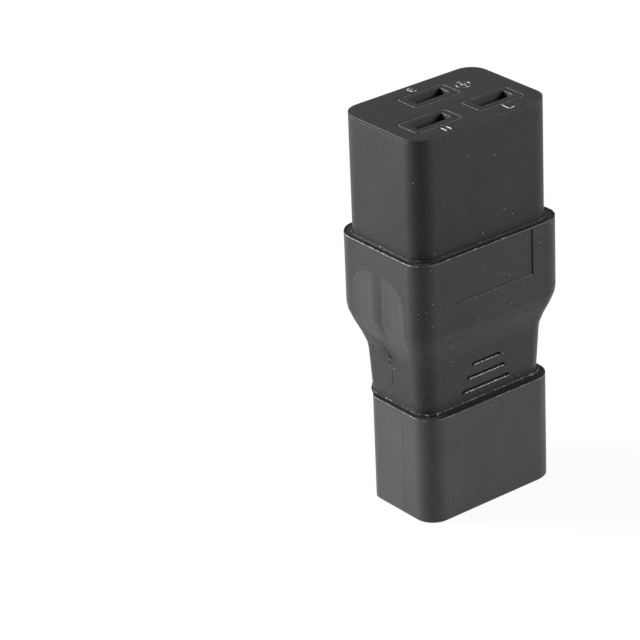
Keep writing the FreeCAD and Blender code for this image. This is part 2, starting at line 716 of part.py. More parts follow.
def make_contact(pole):
    """Female contact: crimp barrel, web, and two spring leaves that grip the blade of a plug."""
    body = new_body(f"{pole}_contact")
    place = SLOT_PLACES[pole]
    at_x, at_y = place_formulas(place)
    barrel = new_sketch(body, f"{pole}_contact_barrel_outline", "XY_Plane", "contact_barrel_foot")
    disc(barrel, "sleeve_diameter", place)
    disc(barrel, "wire_diameter", place)
    pad(body, barrel, f"{pole}_contact_barrel", "barrel_length")
    neck = new_sketch(body, f"{pole}_contact_neck_outline", "XY_Plane", "nose_foot")
    disc(neck, "sleeve_diameter", place)
    pad(body, neck, f"{pole}_contact_neck", "backplate_height")
    web = new_sketch(body, f"{pole}_contact_web_outline", "XY_Plane", "flange_foot")
    sharp_box(web, "contact_width", "contact_depth", place)
    pad(body, web, f"{pole}_contact_web", "contact_thickness")
    for side, label in ((-1, "front"), (1, "back")):
        leaf = new_sketch(body, f"{pole}_{label}_leaf_outline", "YZ_Plane", at_x)
        polygon(leaf, leaf_corners(at_y, side))
        pad(body, leaf, f"{pole}_{label}_leaf", "contact_width", True)
    return body


def make_backplate():
    """Plate that shuts the contact carrier; the contacts' necks pass through it."""
    body = new_body("carrier_backplate")
    outline = new_sketch(body, "backplate_outline", "XY_Plane", "nose_foot")
    round_box(outline, "flange_width", "flange_depth", "flange_radius")
    pad(body, outline, "backplate_block", "backplate_height")
    holes = new_sketch(body, "neck_holes", "XY_Plane", "nose_foot")
    for pole in POLES:
        disc(holes, "sleeve_diameter", SLOT_PLACES[pole])
    pocket(body, holes, "neck_bores", "backplate_height")
    return body


def make_contact_carrier():
    """Insulator with a tower round each contact; each tower's end has the slot for a plug's blade."""
    body = new_body("contact_carrier")
    outline = new_sketch(body, "flange_outline", "XY_Plane", "flange_foot")
    round_box(outline, "flange_width", "flange_depth", "flange_radius")
    pad(body, outline, "flange", "flange_height")
    towers = three_outlines(body, "tower_outlines", "flange_head", SLOT_PLACES, round_box,
                            "tower_length", "tower_width", "tower_corner_radius")
    pad(body, towers, "towers", "tower_height")
    chambers = three_outlines(body, "chamber_outlines", "flange_foot", SLOT_PLACES, sharp_box,
                              "chamber_length", "chamber_width")
    pocket(body, chambers, "chambers", "chamber_height")
    slots = three_outlines(body, "slot_outlines", "tower_end_foot", SLOT_PLACES, sharp_box,
                           "slot_length", "slot_width")
    pocket(body, slots, "slots", "tower_end_wall")
    return body


def make_outlet_housing():
    """Nose of the C19 outlet, its skirt held in the collar and its windows filled by the towers."""
    body = new_body("outlet_housing")
    outline = new_sketch(body, "nose_outline", "XY_Plane", "nose_foot")
    round_box(outline, "nose_width", "nose_depth", "nose_radius")
    pad(body, outline, "nose", "nose_height")
    bevel_edges(body, "nose_bevels", "nose_edge_bevel", ring_edges(body.Tip, size("overall_height")))
    seat = new_sketch(body, "flange_seat_outline", "XY_Plane", "nose_foot")
    round_box(seat, "flange_width", "flange_depth", "flange_radius")
    pocket(body, seat, "flange_seat", "flange_cavity_height")
    windows = three_outlines(body, "window_outlines", "flange_head", SLOT_PLACES, round_box,
                             "window_length", "window_width", "window_corner_radius")
    pocket(body, windows, "windows", "tower_height")
    return body


# ---------------------------------------------------------------- the grip
def make_grip_blank():
    """Moulded grip without its thumb recesses: waist, S-shaped swell and collar round the inner parts."""
    body = new_body("grip_blank")
    waist_foot = keyed_outline(body, "waist_foot_outline", "shroud_height", "waist_foot_width",
                               "waist_foot_half_depth", "waist_foot_flat", "waist_front_radius",
                               "waist_back_radius")
    waist_head = keyed_outline(body, "waist_head_outline", "waist_head", "waist_head_width",
                               "waist_head_half_depth", "waist_head_flat", "waist_front_radius",
                               "waist_back_radius")
    doc.recompute()
    loft(body, "Additive", "waist", [waist_foot, waist_head])
    swell = []
    for number in range(len(SWELL_STEPS)):
        swell.append(keyed_outline(
            body, f"swell_outline_{number}", f"swell_level_{number}", f"swell_width_{number}",
            f"swell_half_depth_{number}", f"swell_flat_{number}", f"swell_front_radius_{number}",
            f"swell_back_radius_{number}"))
    doc.recompute()
    loft(body, "Additive", "swell", swell)
    collar = keyed_outline(body, "collar_outline", "collar_foot", "collar_width", "collar_half_depth",
                           "collar_flat", "collar_radius", "collar_back_radius")
    pad(body, collar, "collar", "collar_height")
    bevel_edges(body, "collar_bevels", "collar_edge_bevel", ring_edges(body.Tip, size("collar_head")))
    head_lip = new_sketch(body, "head_lip_outline", "XY_Plane", "collar_head")
    round_box(head_lip, "head_lip_width", "head_lip_depth", "head_lip_radius")
    pad(body, head_lip, "head_lip", "lip_height")
    foot_lip = keyed_outline(body, "foot_lip_outline", "shroud_height", "foot_lip_width", "foot_lip_half_depth",
                             "foot_lip_flat", "waist_front_radius", "waist_back_radius")
    pad(body, foot_lip, "foot_lip", "lip_height")
    core = new_sketch(body, "core_outline", "XY_Plane", "shroud_height")
    round_box(core, "core_width", "core_depth", "core_radius")
    pocket(body, core, "core_seat", "core_height")
    skirt = new_sketch(body, "skirt_outline", "XY_Plane", "nose_foot")
    round_box(skirt, "nose_width", "nose_depth", "nose_radius")
    pocket(body, skirt, "nose_seat", "nose_seat_height")
    cut_label_recess(body)
    cut_grooves(body)
    return body


def cut_label_recess(body):
    """Shallow panel on the front of the collar, open at the top."""
    panel = new_sketch(body, "label_outline", "XZ_Plane", "label_plane")
    foot = "collar_head - label_height"
    head = "collar_head + lip_height"
    polygon(panel, (
        ("-label_width / 2", foot),
        ("label_width / 2", foot),
        ("label_width / 2", head),
        ("-label_width / 2", head),
    ))
    pocket(body, panel, "label_recess", "label_cut", False)


def cut_grooves(body):
    """Grip grooves across the waist, longer towards its foot, front and back alike."""
    grooves = []
    for number in range(dict(DRIVING)["groove_count"]):
        sketch = new_sketch(body, f"groove_outline_{number}", "XZ_Plane", f"groove_plane_{number}")
        level = f"groove_level_{number}"
        half_run = f"groove_half_run_{number}"
        polygon(sketch, (
            (f"-{half_run}", f"{level} - groove_width / 2"),
            (half_run, f"{level} - groove_width / 2"),
            (half_run, f"{level} + groove_width / 2"),
            (f"-{half_run}", f"{level} + groove_width / 2"),
        ))
        grooves.append(pocket(body, sketch, f"groove_{number}", "groove_cut", False))
    mirror = body.newObject("PartDesign::Mirrored", "back_grooves")
    mirror.Originals = grooves
    plane = next(item for item in body.Origin.OriginFeatures if item.Role == "XZ_Plane")
    mirror.MirrorPlane = (plane, [""])
    body.Tip = mirror
    doc.recompute()


def make_recess_ramp():
    """Everything outside the floor of a thumb recess: a hollow run-in from the collar's face, an upright
    stretch, then an S down to a dish in the waist."""
    body = new_body("recess_ramp")
    sketch = new_sketch(body, "ramp_outline", "XZ_Plane")
    corners = (
        ("foot_face", "recess_foot"),
        ("ramp_limit", "recess_foot"),
        ("ramp_limit", "recess_head"),
        ("collar_width / 2", "recess_head"),
        ("lobe_face", "lobe_head"),
        ("lobe_face", "lobe_foot"),
        ("bend_face", "bend_level"),
    )
    foot, low, high, head, top, base, bend = [(size(across), size(up)) for across, up in corners]
    entry = floor_arc((top[0] + size("entry_radius"), top[1]), size("entry_radius"), head, top)
    turn = floor_arc((base[0] - size("turn_radius"), base[1]), size("turn_radius"), base, bend)
    dish = floor_arc((size("dish_face + dish_radius"), size("dish_level")), size("dish_radius"), bend, foot)
    sketch.addGeometry([line(foot, low), line(low, high), line(high, head), entry, line(top, base), turn, dish],
                       False)
    rule = Sketcher.Constraint
    entry_ends = sketch_arc_ends(sketch, 3, head)
    turn_ends = sketch_arc_ends(sketch, 5, base)
    dish_ends = sketch_arc_ends(sketch, 6, bend)
    sketch.addConstraint([
        rule("Coincident", 0, 2, 1, 1),
        rule("Coincident", 1, 2, 2, 1),
        rule("Coincident", 2, 2, 3, entry_ends[0]),
        rule("Coincident", 3, entry_ends[1], 4, 1),
        rule("Coincident", 4, 2, 5, turn_ends[0]),
        rule("Coincident", 5, turn_ends[1], 6, dish_ends[0]),
        rule("Coincident", 6, dish_ends[1], 0, 1),
    ])
    for number, edge, end in ((0, 0, 1), (1, 1, 1), (2, 2, 1), (3, 2, 2), (4, 4, 1), (5, 4, 2)):
        tie_point(sketch, edge, end, corners[number], f"corner{number}")
    tie_point(sketch, 6, dish_ends[0], corners[6], "corner6")
    name_dimensions(sketch, (
        ("entry", rule("Radius", 3, size("entry_radius")), "entry_radius"),
        ("turn", rule("Radius", 5, size("turn_radius")), "turn_radius"),
        ("dish", rule("Radius", 6, size("dish_radius")), "dish_radius"),
    ))
    pad(body, sketch, "ramp_block", "recess_width", True)
    return body


def floor_arc(centre, radius, start, end):
    """The shorter arc round a centre between two points on it."""
    first = math.degrees(math.atan2(start[1] - centre[1], start[0] - centre[0]))
    last = math.degrees(math.atan2(end[1] - centre[1], end[0] - centre[0]))
    if (last - first) % 360 > 180:
        first, last = last, first
    return arc(centre, radius, first, first + (last - first) % 360)


def sketch_arc_ends(sketch, edge, start):
    """The point numbers of an arc's two ends, the one at the given start first."""
    place = sketch.getPoint(edge, 1)
    near = math.hypot(place.x - start[0], place.y - start[1]) < TOLERANCE
    return (1, 2) if near else (2, 1)


def make_recess_oval():
    """Outline of a thumb recess, seen from the side: round at the foot, flatter at the head."""
    body = new_body("recess_oval")
    sketch = new_sketch(body, "oval_outline", "YZ_Plane")
    half = size("recess_half_width")
    corner = size("recess_corner_radius")
    foot = size("recess_foot")
    head = size("recess_head")
    close_smoothly(sketch, [
        arc((0, foot + half), half, 180, 360),
        line((half, foot + half), (half, head - corner)),
        arc((half - corner, head - corner), corner, 0, 90),
        line((half - corner, head), (corner - half, head)),
        arc((corner - half, head - corner), corner, 90, 180),
        line((-half, head - corner), (-half, foot + half)),
    ])
    rule = Sketcher.Constraint
    sketch.addConstraint([
        rule("Vertical", 1),
        rule("Symmetric", 3, 1, 3, 2, -2),
        rule("Equal", 2, 4),
        rule("Vertical", 5),
    ])
    name_dimensions(sketch, (
        ("foot_round", rule("Radius", 0, half), "recess_half_width"),
        ("head_round", rule("Radius", 2, corner), "recess_corner_radius"),
        ("head_level", rule("DistanceY", -1, 1, 3, 1, head), "recess_head"),
        ("foot_centre", rule("DistanceY", -1, 1, 0, 3, foot + half), "recess_foot + recess_half_width"),
    ))
    pad(body, sketch, "oval_block", "ramp_limit")
    return body


def make_rib():
    """Rib left standing down the middle of a thumb recess, its foot sloping into the recess's floor."""
    body = new_body("recess_rib")
    sketch = new_sketch(body, "rib_outline", "XZ_Plane")
    polygon(sketch, (
        ("core_width / 2", "rib_foot"),
        ("rib_root", "rib_foot"),
        ("collar_width / 2", "rib_crest"),
        ("ramp_limit + run_in", "rib_crest"),
        ("ramp_limit + run_in", "recess_head + run_in"),
        ("core_width / 2", "recess_head + run_in"),
    ))
    pad(body, sketch, "rib_block", "rib_width", True)
    return body


def make_grip_body():
    """The grip: its blank with a thumb recess cut into each short side."""
    blank = make_grip_blank()
    ramp = make_recess_ramp()
    oval = make_recess_oval()
    rib = make_rib()
    pit = doc.addObject("Part::Common", "recess_pit")
    pit.Base = ramp
    pit.Tool = oval
    right = doc.addObject("Part::Cut", "recess_right")
    right.Base = pit
    right.Tool = rib
    left = doc.addObject("Part::Mirroring", "recess_left")
    left.Source = right
    left.Normal = VECTOR(1, 0, 0)
    both = doc.addObject("Part::MultiFuse", "recesses")
    both.Shapes = [right, left]
    grip = doc.addObject("Part::Cut", "grip_body")
    grip.Base = blank
    grip.Tool = both
    grip.Label = "grip_body"
    return grip


# ---------------------------------------------------------------- all the pieces
def make_pieces():
    """Every piece of the adapter, each a document object whose label names its file."""
    pieces = [make_inlet_shroud(), make_pin_carrier()]
    pieces += [make_pin(pole) for pole in POLES]
    pieces += [make_wire(pole) for pole in POLES]
    pieces += [make_sleeve(pole) for pole in POLES]
    pieces += [make_contact(pole) for pole in POLES]
    pieces += [make_inner_mould(), make_backplate(), make_contact_carrier(), make_outlet_housing()]
    pieces.append(make_grip_body())
    return pieces


def check_document(pieces):
    """Stops if an object of the document failed, or a piece is empty, invalid or more than one solid."""
    for item in doc.Objects:
        if {"Invalid", "Error"} & set(item.State):
            raise RuntimeError(f"{item.Name} failed: {item.State}")
    for piece in pieces:
        shape = piece.Shape
        if shape.isNull() or not shape.isValid() or len(shape.Solids) != 1:
            raise RuntimeError(f"{piece.Label} is not one valid solid")


fill_sheet()
parts = make_pieces()
doc.recompute()
check_document(parts)
os.makedirs("parts", exist_ok=True)
for part in parts:
    part.Shape.exportStep(f"parts/{part.Label}.step")
    print(f"{part.Label}: {part.Shape.Volume:.1f} mm3")
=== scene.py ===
"""Looks of the inlet-to-outlet power adapter: finishes, moulding marks, studio light and camera.

Lengths are in metres, apart from those of shapes, which are in millimetres until new_piece()."""
import math

import bpy
import numpy as np
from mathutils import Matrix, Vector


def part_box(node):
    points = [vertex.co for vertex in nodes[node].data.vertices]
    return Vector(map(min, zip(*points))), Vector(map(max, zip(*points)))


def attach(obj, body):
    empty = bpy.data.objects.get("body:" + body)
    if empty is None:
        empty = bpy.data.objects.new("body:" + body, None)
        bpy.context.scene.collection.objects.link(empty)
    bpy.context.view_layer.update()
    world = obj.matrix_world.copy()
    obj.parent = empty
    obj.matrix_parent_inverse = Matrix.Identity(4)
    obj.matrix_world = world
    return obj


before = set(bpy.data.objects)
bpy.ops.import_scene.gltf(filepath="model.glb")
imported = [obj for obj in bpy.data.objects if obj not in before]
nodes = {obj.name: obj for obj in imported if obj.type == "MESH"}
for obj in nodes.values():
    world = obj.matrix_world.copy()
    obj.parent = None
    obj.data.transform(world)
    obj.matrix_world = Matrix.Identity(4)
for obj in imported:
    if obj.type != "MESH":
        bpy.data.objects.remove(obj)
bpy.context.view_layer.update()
MM = 0.001
POLES = ("line", "neutral", "earth")
UP = np.array((0.0, 0.0, 1.0))
FRONT = np.array((0.0, -1.0, 0.0))


def new_object(name, data):
    """Object at the origin, in the scene."""
    thing = bpy.data.objects.new(name, data)
    bpy.context.scene.collection.objects.link(thing)
    return thing


def stand(thing, right, up, back, spot):
    """Stand a camera or a lamp at a spot, with its axes along three directions: it looks against
    the third."""
    thing.matrix_world = [[*right, 0.0], [*up, 0.0], [*back, 0.0], [*spot, 1.0]]


# ----------------------------------------------------------------------------------------------
# camera
VIEW_AZIMUTH = -37.5  # degrees from the front, towards the neutral side
VIEW_ELEVATION = 26.32
VIEW_ROLL = -2.55
VIEW_DISTANCE = 0.53887
VIEW_HEIGHT = 0.040  # level of the point that the camera is levelled at
VIEW_ASIDE = (-0.02096, -0.009265)  # how far the camera stands right of that point and above it
LENS = 187.16
SENSOR = 36.0
CLIP_START = 0.01


def turned_axes():
    """Right, up and back of the camera: back from azimuth and elevation, the others turned by the
    roll."""
    azimuth, elevation, roll = (math.radians(v) for v in (VIEW_AZIMUTH, VIEW_ELEVATION, VIEW_ROLL))
    back = np.array([
        math.sin(azimuth) * math.cos(elevation),
        -math.cos(azimuth) * math.cos(elevation),
        math.sin(elevation),
    ])
    level = np.array([math.cos(azimuth), math.sin(azimuth), 0.0])
    above = np.cross(back, level)
    right = math.cos(roll) * level + math.sin(roll) * above
    up = math.cos(roll) * above - math.sin(roll) * level
    return right, up, back


def make_camera():
    data = bpy.data.cameras.new("camera")
    data.sensor_width = SENSOR
    data.lens = LENS
    data.clip_start = CLIP_START
    camera = new_object("camera", data)
    right, up, back = turned_axes()
    spot = VIEW_HEIGHT * UP + back * VIEW_DISTANCE + right * VIEW_ASIDE[0] + up * VIEW_ASIDE[1]
    stand(camera, right, up, back, spot)
    bpy.context.scene.camera = camera


# ----------------------------------------------------------------------------------------------
# shapes: whole arrays in millimetres, turned into pieces at the end
ARC_STEPS = 9  # places on each corner's arc
RIDGE_SIDES = 8
CRUMB_RINGS, CRUMB_SPOKES = 8, 12
STROKE_STEPS = 24
STROKE_TIP = 0.08  # share of a stroke's size that is left at its tips


def outline(corners, radii, count):
    """Rounded polygon, counterclockwise: at each corner a circle's arc that turns from the edge
    that comes in to the edge that goes out, about a centre one radius inside both, then count
    places spread evenly along its length.  Returns the places and the outward directions there."""
    corners, radii = np.array(corners, float), np.array(radii, float)
    leaving = np.roll(corners, -1, axis=0) - corners
    leaving /= np.linalg.norm(leaving, axis=1)[:, None]
    coming = np.roll(leaving, 1, axis=0)
    heading = np.arctan2(coming[:, 1], coming[:, 0])
    turn = np.arctan2(coming[:, 0] * leaving[:, 1] - coming[:, 1] * leaving[:, 0],
                      (coming * leaving).sum(axis=1))
    reach = radii * np.tan(turn / 2)
    inward = np.stack([-coming[:, 1], coming[:, 0]], axis=1)
    centres = corners - coming * reach[:, None] + inward * radii[:, None]
    first = np.unwrap(heading) - math.pi / 2
    angles = (first[:, None] + turn[:, None] * np.linspace(0.0, 1.0, ARC_STEPS)).ravel()
    arms = np.repeat(radii, ARC_STEPS)[:, None] * np.stack([np.cos(angles), np.sin(angles)], axis=1)
    points = np.repeat(centres, ARC_STEPS, axis=0) + arms
    points = np.vstack([points, points[:1]])
    angles = np.append(angles, angles[0] + 2 * math.pi)
    run = np.append(0.0, np.cumsum(np.linalg.norm(np.diff(points, axis=0), axis=1)))
    places = np.linspace(0.0, run[-1], count, endpoint=False)
    spots = np.stack([np.interp(places, run, points[:, axis]) for axis in (0, 1)], axis=1)
    facing = np.interp(places, run, angles)
    return spots, np.stack([np.cos(facing), np.sin(facing)], axis=1)


def box_corners(half_width, half_depth, centre=(0.0, 0.0)):
    """Corners of a box, counterclockwise from the front left one."""
    signs = np.array([(-1, -1), (1, -1), (1, 1), (-1, 1)], float)
    return signs * (half_width, half_depth) + centre


def keyed_outline(half_width, half_depth, cut, front, back, count):
    """Outline of a box with both back corners cut off at 45 degrees, from the front left corner:
    the front corners are rounded by one radius and the four back ones by another."""
    corners = [(-half_width, -half_depth), (half_width, -half_depth),
               (half_width, half_depth - cut), (half_width - cut, half_depth),
               (cut - half_width, half_depth), (-half_width, half_depth - cut)]
    return outline(corners, [front] * 2 + [back] * 4, count)


def uneven(places, waves, seed):
    """Uneven value from 0 to 1 over places that run once round from 0 to 1: a sum of sines of whole
    numbers of waves with random phases and weights, brought to a spread of one and bent by a
    tanh."""
    chance = np.random.default_rng(seed)
    counts = np.arange(*waves)
    phases = chance.uniform(0.0, 2 * math.pi, counts.size)
    weights = chance.uniform(0.4, 1.0, counts.size)
    total = (np.sin(2 * math.pi * places[:, None] * counts + phases) * weights).sum(axis=1)
    return 0.5 + 0.5 * np.tanh(total / math.sqrt((weights ** 2).sum() / 2))


def grid_faces(rows, columns, rows_closed, columns_closed):
    """Four-cornered faces between the points of a grid, counted row by row.  A closed direction
    comes back to its first row or column."""
    row = np.arange(rows if rows_closed else rows - 1)[:, None]
    column = np.arange(columns if columns_closed else columns - 1)[None, :]
    beyond, after = (row + 1) % rows, (column + 1) % columns
    corners = [row * columns + column, beyond * columns + column,
               beyond * columns + after, row * columns + after]
    return np.stack(corners, axis=2).reshape(-1, 4).tolist()


def end_caps(rows, columns):
    """Faces that shut the first and the last row of a grid whose columns are closed."""
    return [list(range(columns)), list(range((rows - 1) * columns, rows * columns))[::-1]]


def outward(points, faces):
    """Faces turned round where the volume that they enclose, summed over fans of triangles, comes
    out negative."""
    fans = [(face[0], face[k], face[k + 1]) for face in faces for k in range(1, len(face) - 1)]
    first, second, third = points[np.array(fans).T]
    volume = np.einsum("ij,ij->", np.cross(first, second), third)
    return [face[::-1] for face in faces] if volume < 0 else faces


def carried(path, side, up, across, high, closed=False):
    """Ridge: an ellipse carried along a path.  At step i of the path and angle a of the ellipse the
    point is the path's point plus across[i] times cos a along the side direction plus high[i] times
    sin a along the up direction.  Returns its points and faces, with both ends capped where the
    path is open."""
    angle = np.linspace(0.0, 2 * math.pi, RIDGE_SIDES, endpoint=False)
    points = (path[:, None, :]
              + (across[:, None] * np.cos(angle))[:, :, None] * np.atleast_2d(side)[:, None, :]
              + (high[:, None] * np.sin(angle))[:, :, None] * np.atleast_2d(up)[:, None, :])
    points = points.reshape(-1, 3)
    faces = grid_faces(len(path), RIDGE_SIDES, closed, True)
    if not closed:
        faces += end_caps(len(path), RIDGE_SIDES)
    return points, outward(points, faces)


def stroke(start, end, level, half_width, height):
    """Raised stroke on a level face: a straight ridge whose size falls almost to nothing over its
    two ends as a circle does."""
    start, end = np.array([*start, level]), np.array([*end, level])
    share = np.linspace(0.0, 1.0, STROKE_STEPS)
    length = np.linalg.norm(end - start)
    near_end = np.clip(np.minimum(share, 1.0 - share) * length / half_width, 0.0, 1.0)
    swell = STROKE_TIP + (1.0 - STROKE_TIP) * np.sqrt(1.0 - (1.0 - near_end) ** 2)
    path = start + (end - start) * share[:, None]
    side = np.cross(UP, (end - start) / length)
    return carried(path, side, UP, half_width * swell, height * swell)


def front_ridge(along, depth, level, across, high):
    """Ridge on a front face: its path runs along X at some depth and level."""
    path = np.stack(np.broadcast_arrays(along, depth, level), axis=1)
    return carried(path, UP, FRONT, across, high)


def ring_ridge(spots, facing, level, half_width, height, tilt=0.0):
    """Closed ridge along a level outline, its up direction leaning outwards by the tilt in
    radians."""
    path = np.column_stack([spots, np.full(len(spots), level)])
    flat = np.column_stack([facing, np.zeros(len(spots))])
    side = flat * math.cos(tilt) - UP * math.sin(tilt)
    up = flat * math.sin(tilt) + UP * math.cos(tilt)
    return carried(path, side, up, half_width, height, closed=True)


def profile_ring(spots, facing, profile):
    """Closed ring of a constant section: at place i of the outline and corner (out, height) of the
    section the point is the place plus out times the outward direction, at that height."""
    section = np.array(profile, float)
    count, sides = len(spots), len(section)
    flat = spots[:, None, :] + section[None, :, :1] * facing[:, None, :]
    tall = np.broadcast_to(section[None, :, 1:], (count, sides, 1))
    points = np.concatenate([flat, tall], axis=2).reshape(-1, 3)
    return points, outward(points, grid_faces(count, sides, True, True))


def crumb(centre, size, seed):
    """Crumb of flash: a ball whose radius at height angle t and turn p is one plus a third of
    sin(2p + a) sin(2t) and a fifth of sin(3p + b) sin(t), stretched to its three half sizes."""
    chance = np.random.default_rng(seed)
    first, second = chance.uniform(0.0, 2 * math.pi, 2)
    height = np.linspace(0.08, math.pi - 0.08, CRUMB_RINGS)[:, None]
    turn = np.linspace(0.0, 2 * math.pi, CRUMB_SPOKES, endpoint=False)[None, :]
    radius = (1.0 + np.sin(2 * turn + first) * np.sin(2 * height) / 3
              + np.sin(3 * turn + second) * np.sin(height) / 5)
    ball = np.stack([radius * np.sin(height) * np.cos(turn), radius * np.sin(height) * np.sin(turn),
                     radius * np.cos(height)], axis=2)
    points = ball.reshape(-1, 3) * size + centre
    faces = grid_faces(CRUMB_RINGS, CRUMB_SPOKES, False, True)
    return points, outward(points, faces + end_caps(CRUMB_RINGS, CRUMB_SPOKES))


def new_piece(name, finish, shells):
    """One object made of closed shells, in metres, that moves with the adapter."""
    points = np.vstack([p for p, _ in shells]) * MM
    starts = np.cumsum([0] + [len(p) for p, _ in shells[:-1]])
    faces = [[int(k + start) for k in face]
             for (_, part), start in zip(shells, starts) for face in part]
    mesh = bpy.data.meshes.new(name)
    mesh.from_pydata(points.tolist(), [], faces)
    mesh.polygons.foreach_set("use_smooth", np.ones(len(mesh.polygons), bool))
    mesh.materials.append(finish)
    piece = new_object(name, mesh)
    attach(piece, "root")
    return piece


# ----------------------------------------------------------------------------------------------
# sizes that finishes and shapes share, in millimetres
WAIST_FOOT, WAIST_HEAD, COLLAR_FOOT = 19.1, 27.0, 35.0
GROOVE_COUNT, GROOVE_LEVEL, GROOVE_PITCH = 3, 21.2, 2.3


# ----------------------------------------------------------------------------------------------
# shader helpers
class Net:
    """A node tree and short ways to fill it.  A value is a number, a colour or a node's output."""

    def __init__(self, tree):
        self.nodes, self.links = tree.nodes, tree.links

    def feed(self, socket, value):
        """Join an output to an input, or give the input a constant."""
        if isinstance(value, bpy.types.NodeSocket):
            self.links.new(value, socket)
        else:
            socket.default_value = value

    def add(self, kind, values=(), **settings):
        """New node, with settings of its own and values for its inputs, in order or by label."""
        node = self.nodes.new(kind)
        for key, value in settings.items():
            setattr(node, key, value)
        for key, value in values.items() if isinstance(values, dict) else enumerate(values):
            self.feed(node.inputs[key], value)
        return node

    def math(self, operation, *values, **settings):
        return self.add("ShaderNodeMath", values, operation=operation, **settings).outputs[0]

    def product(self, *values):
        """All the values multiplied."""
        result = values[0]
        for value in values[1:]:
            result = self.math("MULTIPLY", result, value)
        return result

    def ramp(self, value, low, high, start=0.0, end=1.0):
        """From start to end while the value goes from low to high, and level outside."""
        return self.add("ShaderNodeMapRange", (value, low, high, start, end)).outputs[0]

    def near(self, value, place, width):
        """1 at the place, down to 0 at a width from it on both sides."""
        apart = self.math("ABSOLUTE", self.math("SUBTRACT", value, place))
        return self.ramp(apart, 0.0, width, 1.0, 0.0)

    def mix(self, share, below, above):
        """Colour that goes from below to above by a share."""
        node = self.add("ShaderNodeMix", data_type="RGBA")
        self.feed(node.inputs["Factor"], share)
        for value, label in ((below, "A"), (above, "B")):
            colour = (*value, 1.0) if isinstance(value, tuple) else value
            self.feed(node.inputs[label], colour)
        return node.outputs["Result"]

    def noise(self, where, scale, detail=2.0, roughness=0.5):
        values = {"Vector": where, "Scale": scale, "Detail": detail, "Roughness": roughness}
        return self.add("ShaderNodeTexNoise", values).outputs[0]

    def sway(self, value, scale, detail):
        """Noise along one number."""
        values = {"W": value, "Scale": scale, "Detail": detail}
        return self.add("ShaderNodeTexNoise", values, noise_dimensions="1D").outputs[0]

    def here(self):
        """Place on the surface, in metres."""
        return self.add("ShaderNodeTexCoord").outputs["Object"]

    def axes(self, vector):
        return self.add("ShaderNodeSeparateXYZ", (vector,)).outputs

    def geometry(self, label):
        return self.add("ShaderNodeNewGeometry").outputs[label]

    def group(self, tree, **values):
        """Outputs of a node group, whose inputs are given by label."""
        return self.add("ShaderNodeGroup", values, node_tree=tree).outputs

    def bump(self, strength, distance, height, normal=None):
        node = self.add("ShaderNodeBump", (strength,))
        self.feed(node.inputs["Distance"], distance)
        self.feed(node.inputs["Height"], height)
        if normal is not None:
            self.feed(node.inputs["Normal"], normal)
        return node.outputs[0]


def new_group(name, inputs, outputs):
    """Node group whose inputs are numbers, given with their usual values; Normal is a vector among
    its outputs.  Returns the group, its net, what it is given and what it gives."""
    tree = bpy.data.node_groups.new(name, "ShaderNodeTree")
    for label, value in inputs.items():
        socket = tree.interface.new_socket(
            name=label, in_out="INPUT", socket_type="NodeSocketFloat")
        socket.default_value = value
    for label in outputs:
        kind = "NodeSocketVector" if label == "Normal" else "NodeSocketFloat"
        tree.interface.new_socket(name=label, in_out="OUTPUT", socket_type=kind)
    net = Net(tree)
    return tree, net, net.add("NodeGroupInput").outputs, net.add("NodeGroupOutput").inputs


CLOUD_SCALE = 90.0
SPARK_START, SPARK_FULL = 0.62, 0.70  # of the fine noise
SPECK_SCALE, SPECK_SIZE = 1100.0, 0.07
EDGE_REACH = 0.2  # lean of the rounded normal at which an edge's painted highlight is full
HIGHLIGHT_BREAK_SCALE = 1700.0
PARTING_WIDTH, PARTING_WANDER = 0.00015, 0.0001
SIDE_FACING = 0.85  # least share of X in the normal of a face that looks to -X or +X
CRACK_WANDER = 0.0006
CRACKED_SIDE = -0.01  # X that only the face that looks to -X lies beyond
GROOVE_HALF_WIDTH = 0.00036
GROOVE_FLOOR, GROOVE_CEILING = -0.0006, 0.0052  # heights over the lowest that the pattern is cut at
GROOVE_RUN, GROOVE_SHORTENING = 0.00503, 0.4348  # half length of the lowest, and loss with height


def make_grain():
    """Spark-eroded mould finish.  Height: fine pits plus ones of twice their size.  Mottle: the
    larger ones, spread to 0..1.  Cloud: a slow change over centimetres.  Sparkle: 1 on the few
    highest points of the fine pits."""
    tree, net, given, out = new_group(
        "mould_grain", {"Scale": 5200.0}, ("Height", "Mottle", "Cloud", "Sparkle"))
    where = net.here()
    fine = net.noise(where, given["Scale"], 1.0, 0.6)
    coarse = net.noise(where, net.math("MULTIPLY", given["Scale"], 0.5), 1.0)
    cloud = net.noise(where, CLOUD_SCALE, 3.0, 0.55)
    net.feed(out["Height"], net.math("MULTIPLY_ADD", coarse, 0.8, fine))
    net.feed(out["Mottle"], net.ramp(coarse, 0.3, 0.7))
    net.feed(out["Cloud"], net.ramp(cloud, 0.3, 0.7))
    net.feed(out["Sparkle"], net.ramp(fine, SPARK_START, SPARK_FULL))
    return tree


def make_dust():
    """Tiny pale specks: points of a Voronoi pattern, only where a random share of its cells has
    one."""
    tree, net, given, out = new_group("dust_specks", {"Share": 0.1}, ("Mask",))
    cell = net.add("ShaderNodeTexVoronoi", {"Vector": net.here(), "Scale": SPECK_SCALE}).outputs
    chance = net.add("ShaderNodeSeparateColor", (cell["Color"],)).outputs[0]
    near = net.math("LESS_THAN", cell["Distance"], SPECK_SIZE)
    rare = net.math("LESS_THAN", chance, given["Share"])
    net.feed(out["Mask"], net.product(near, rare))
    return tree


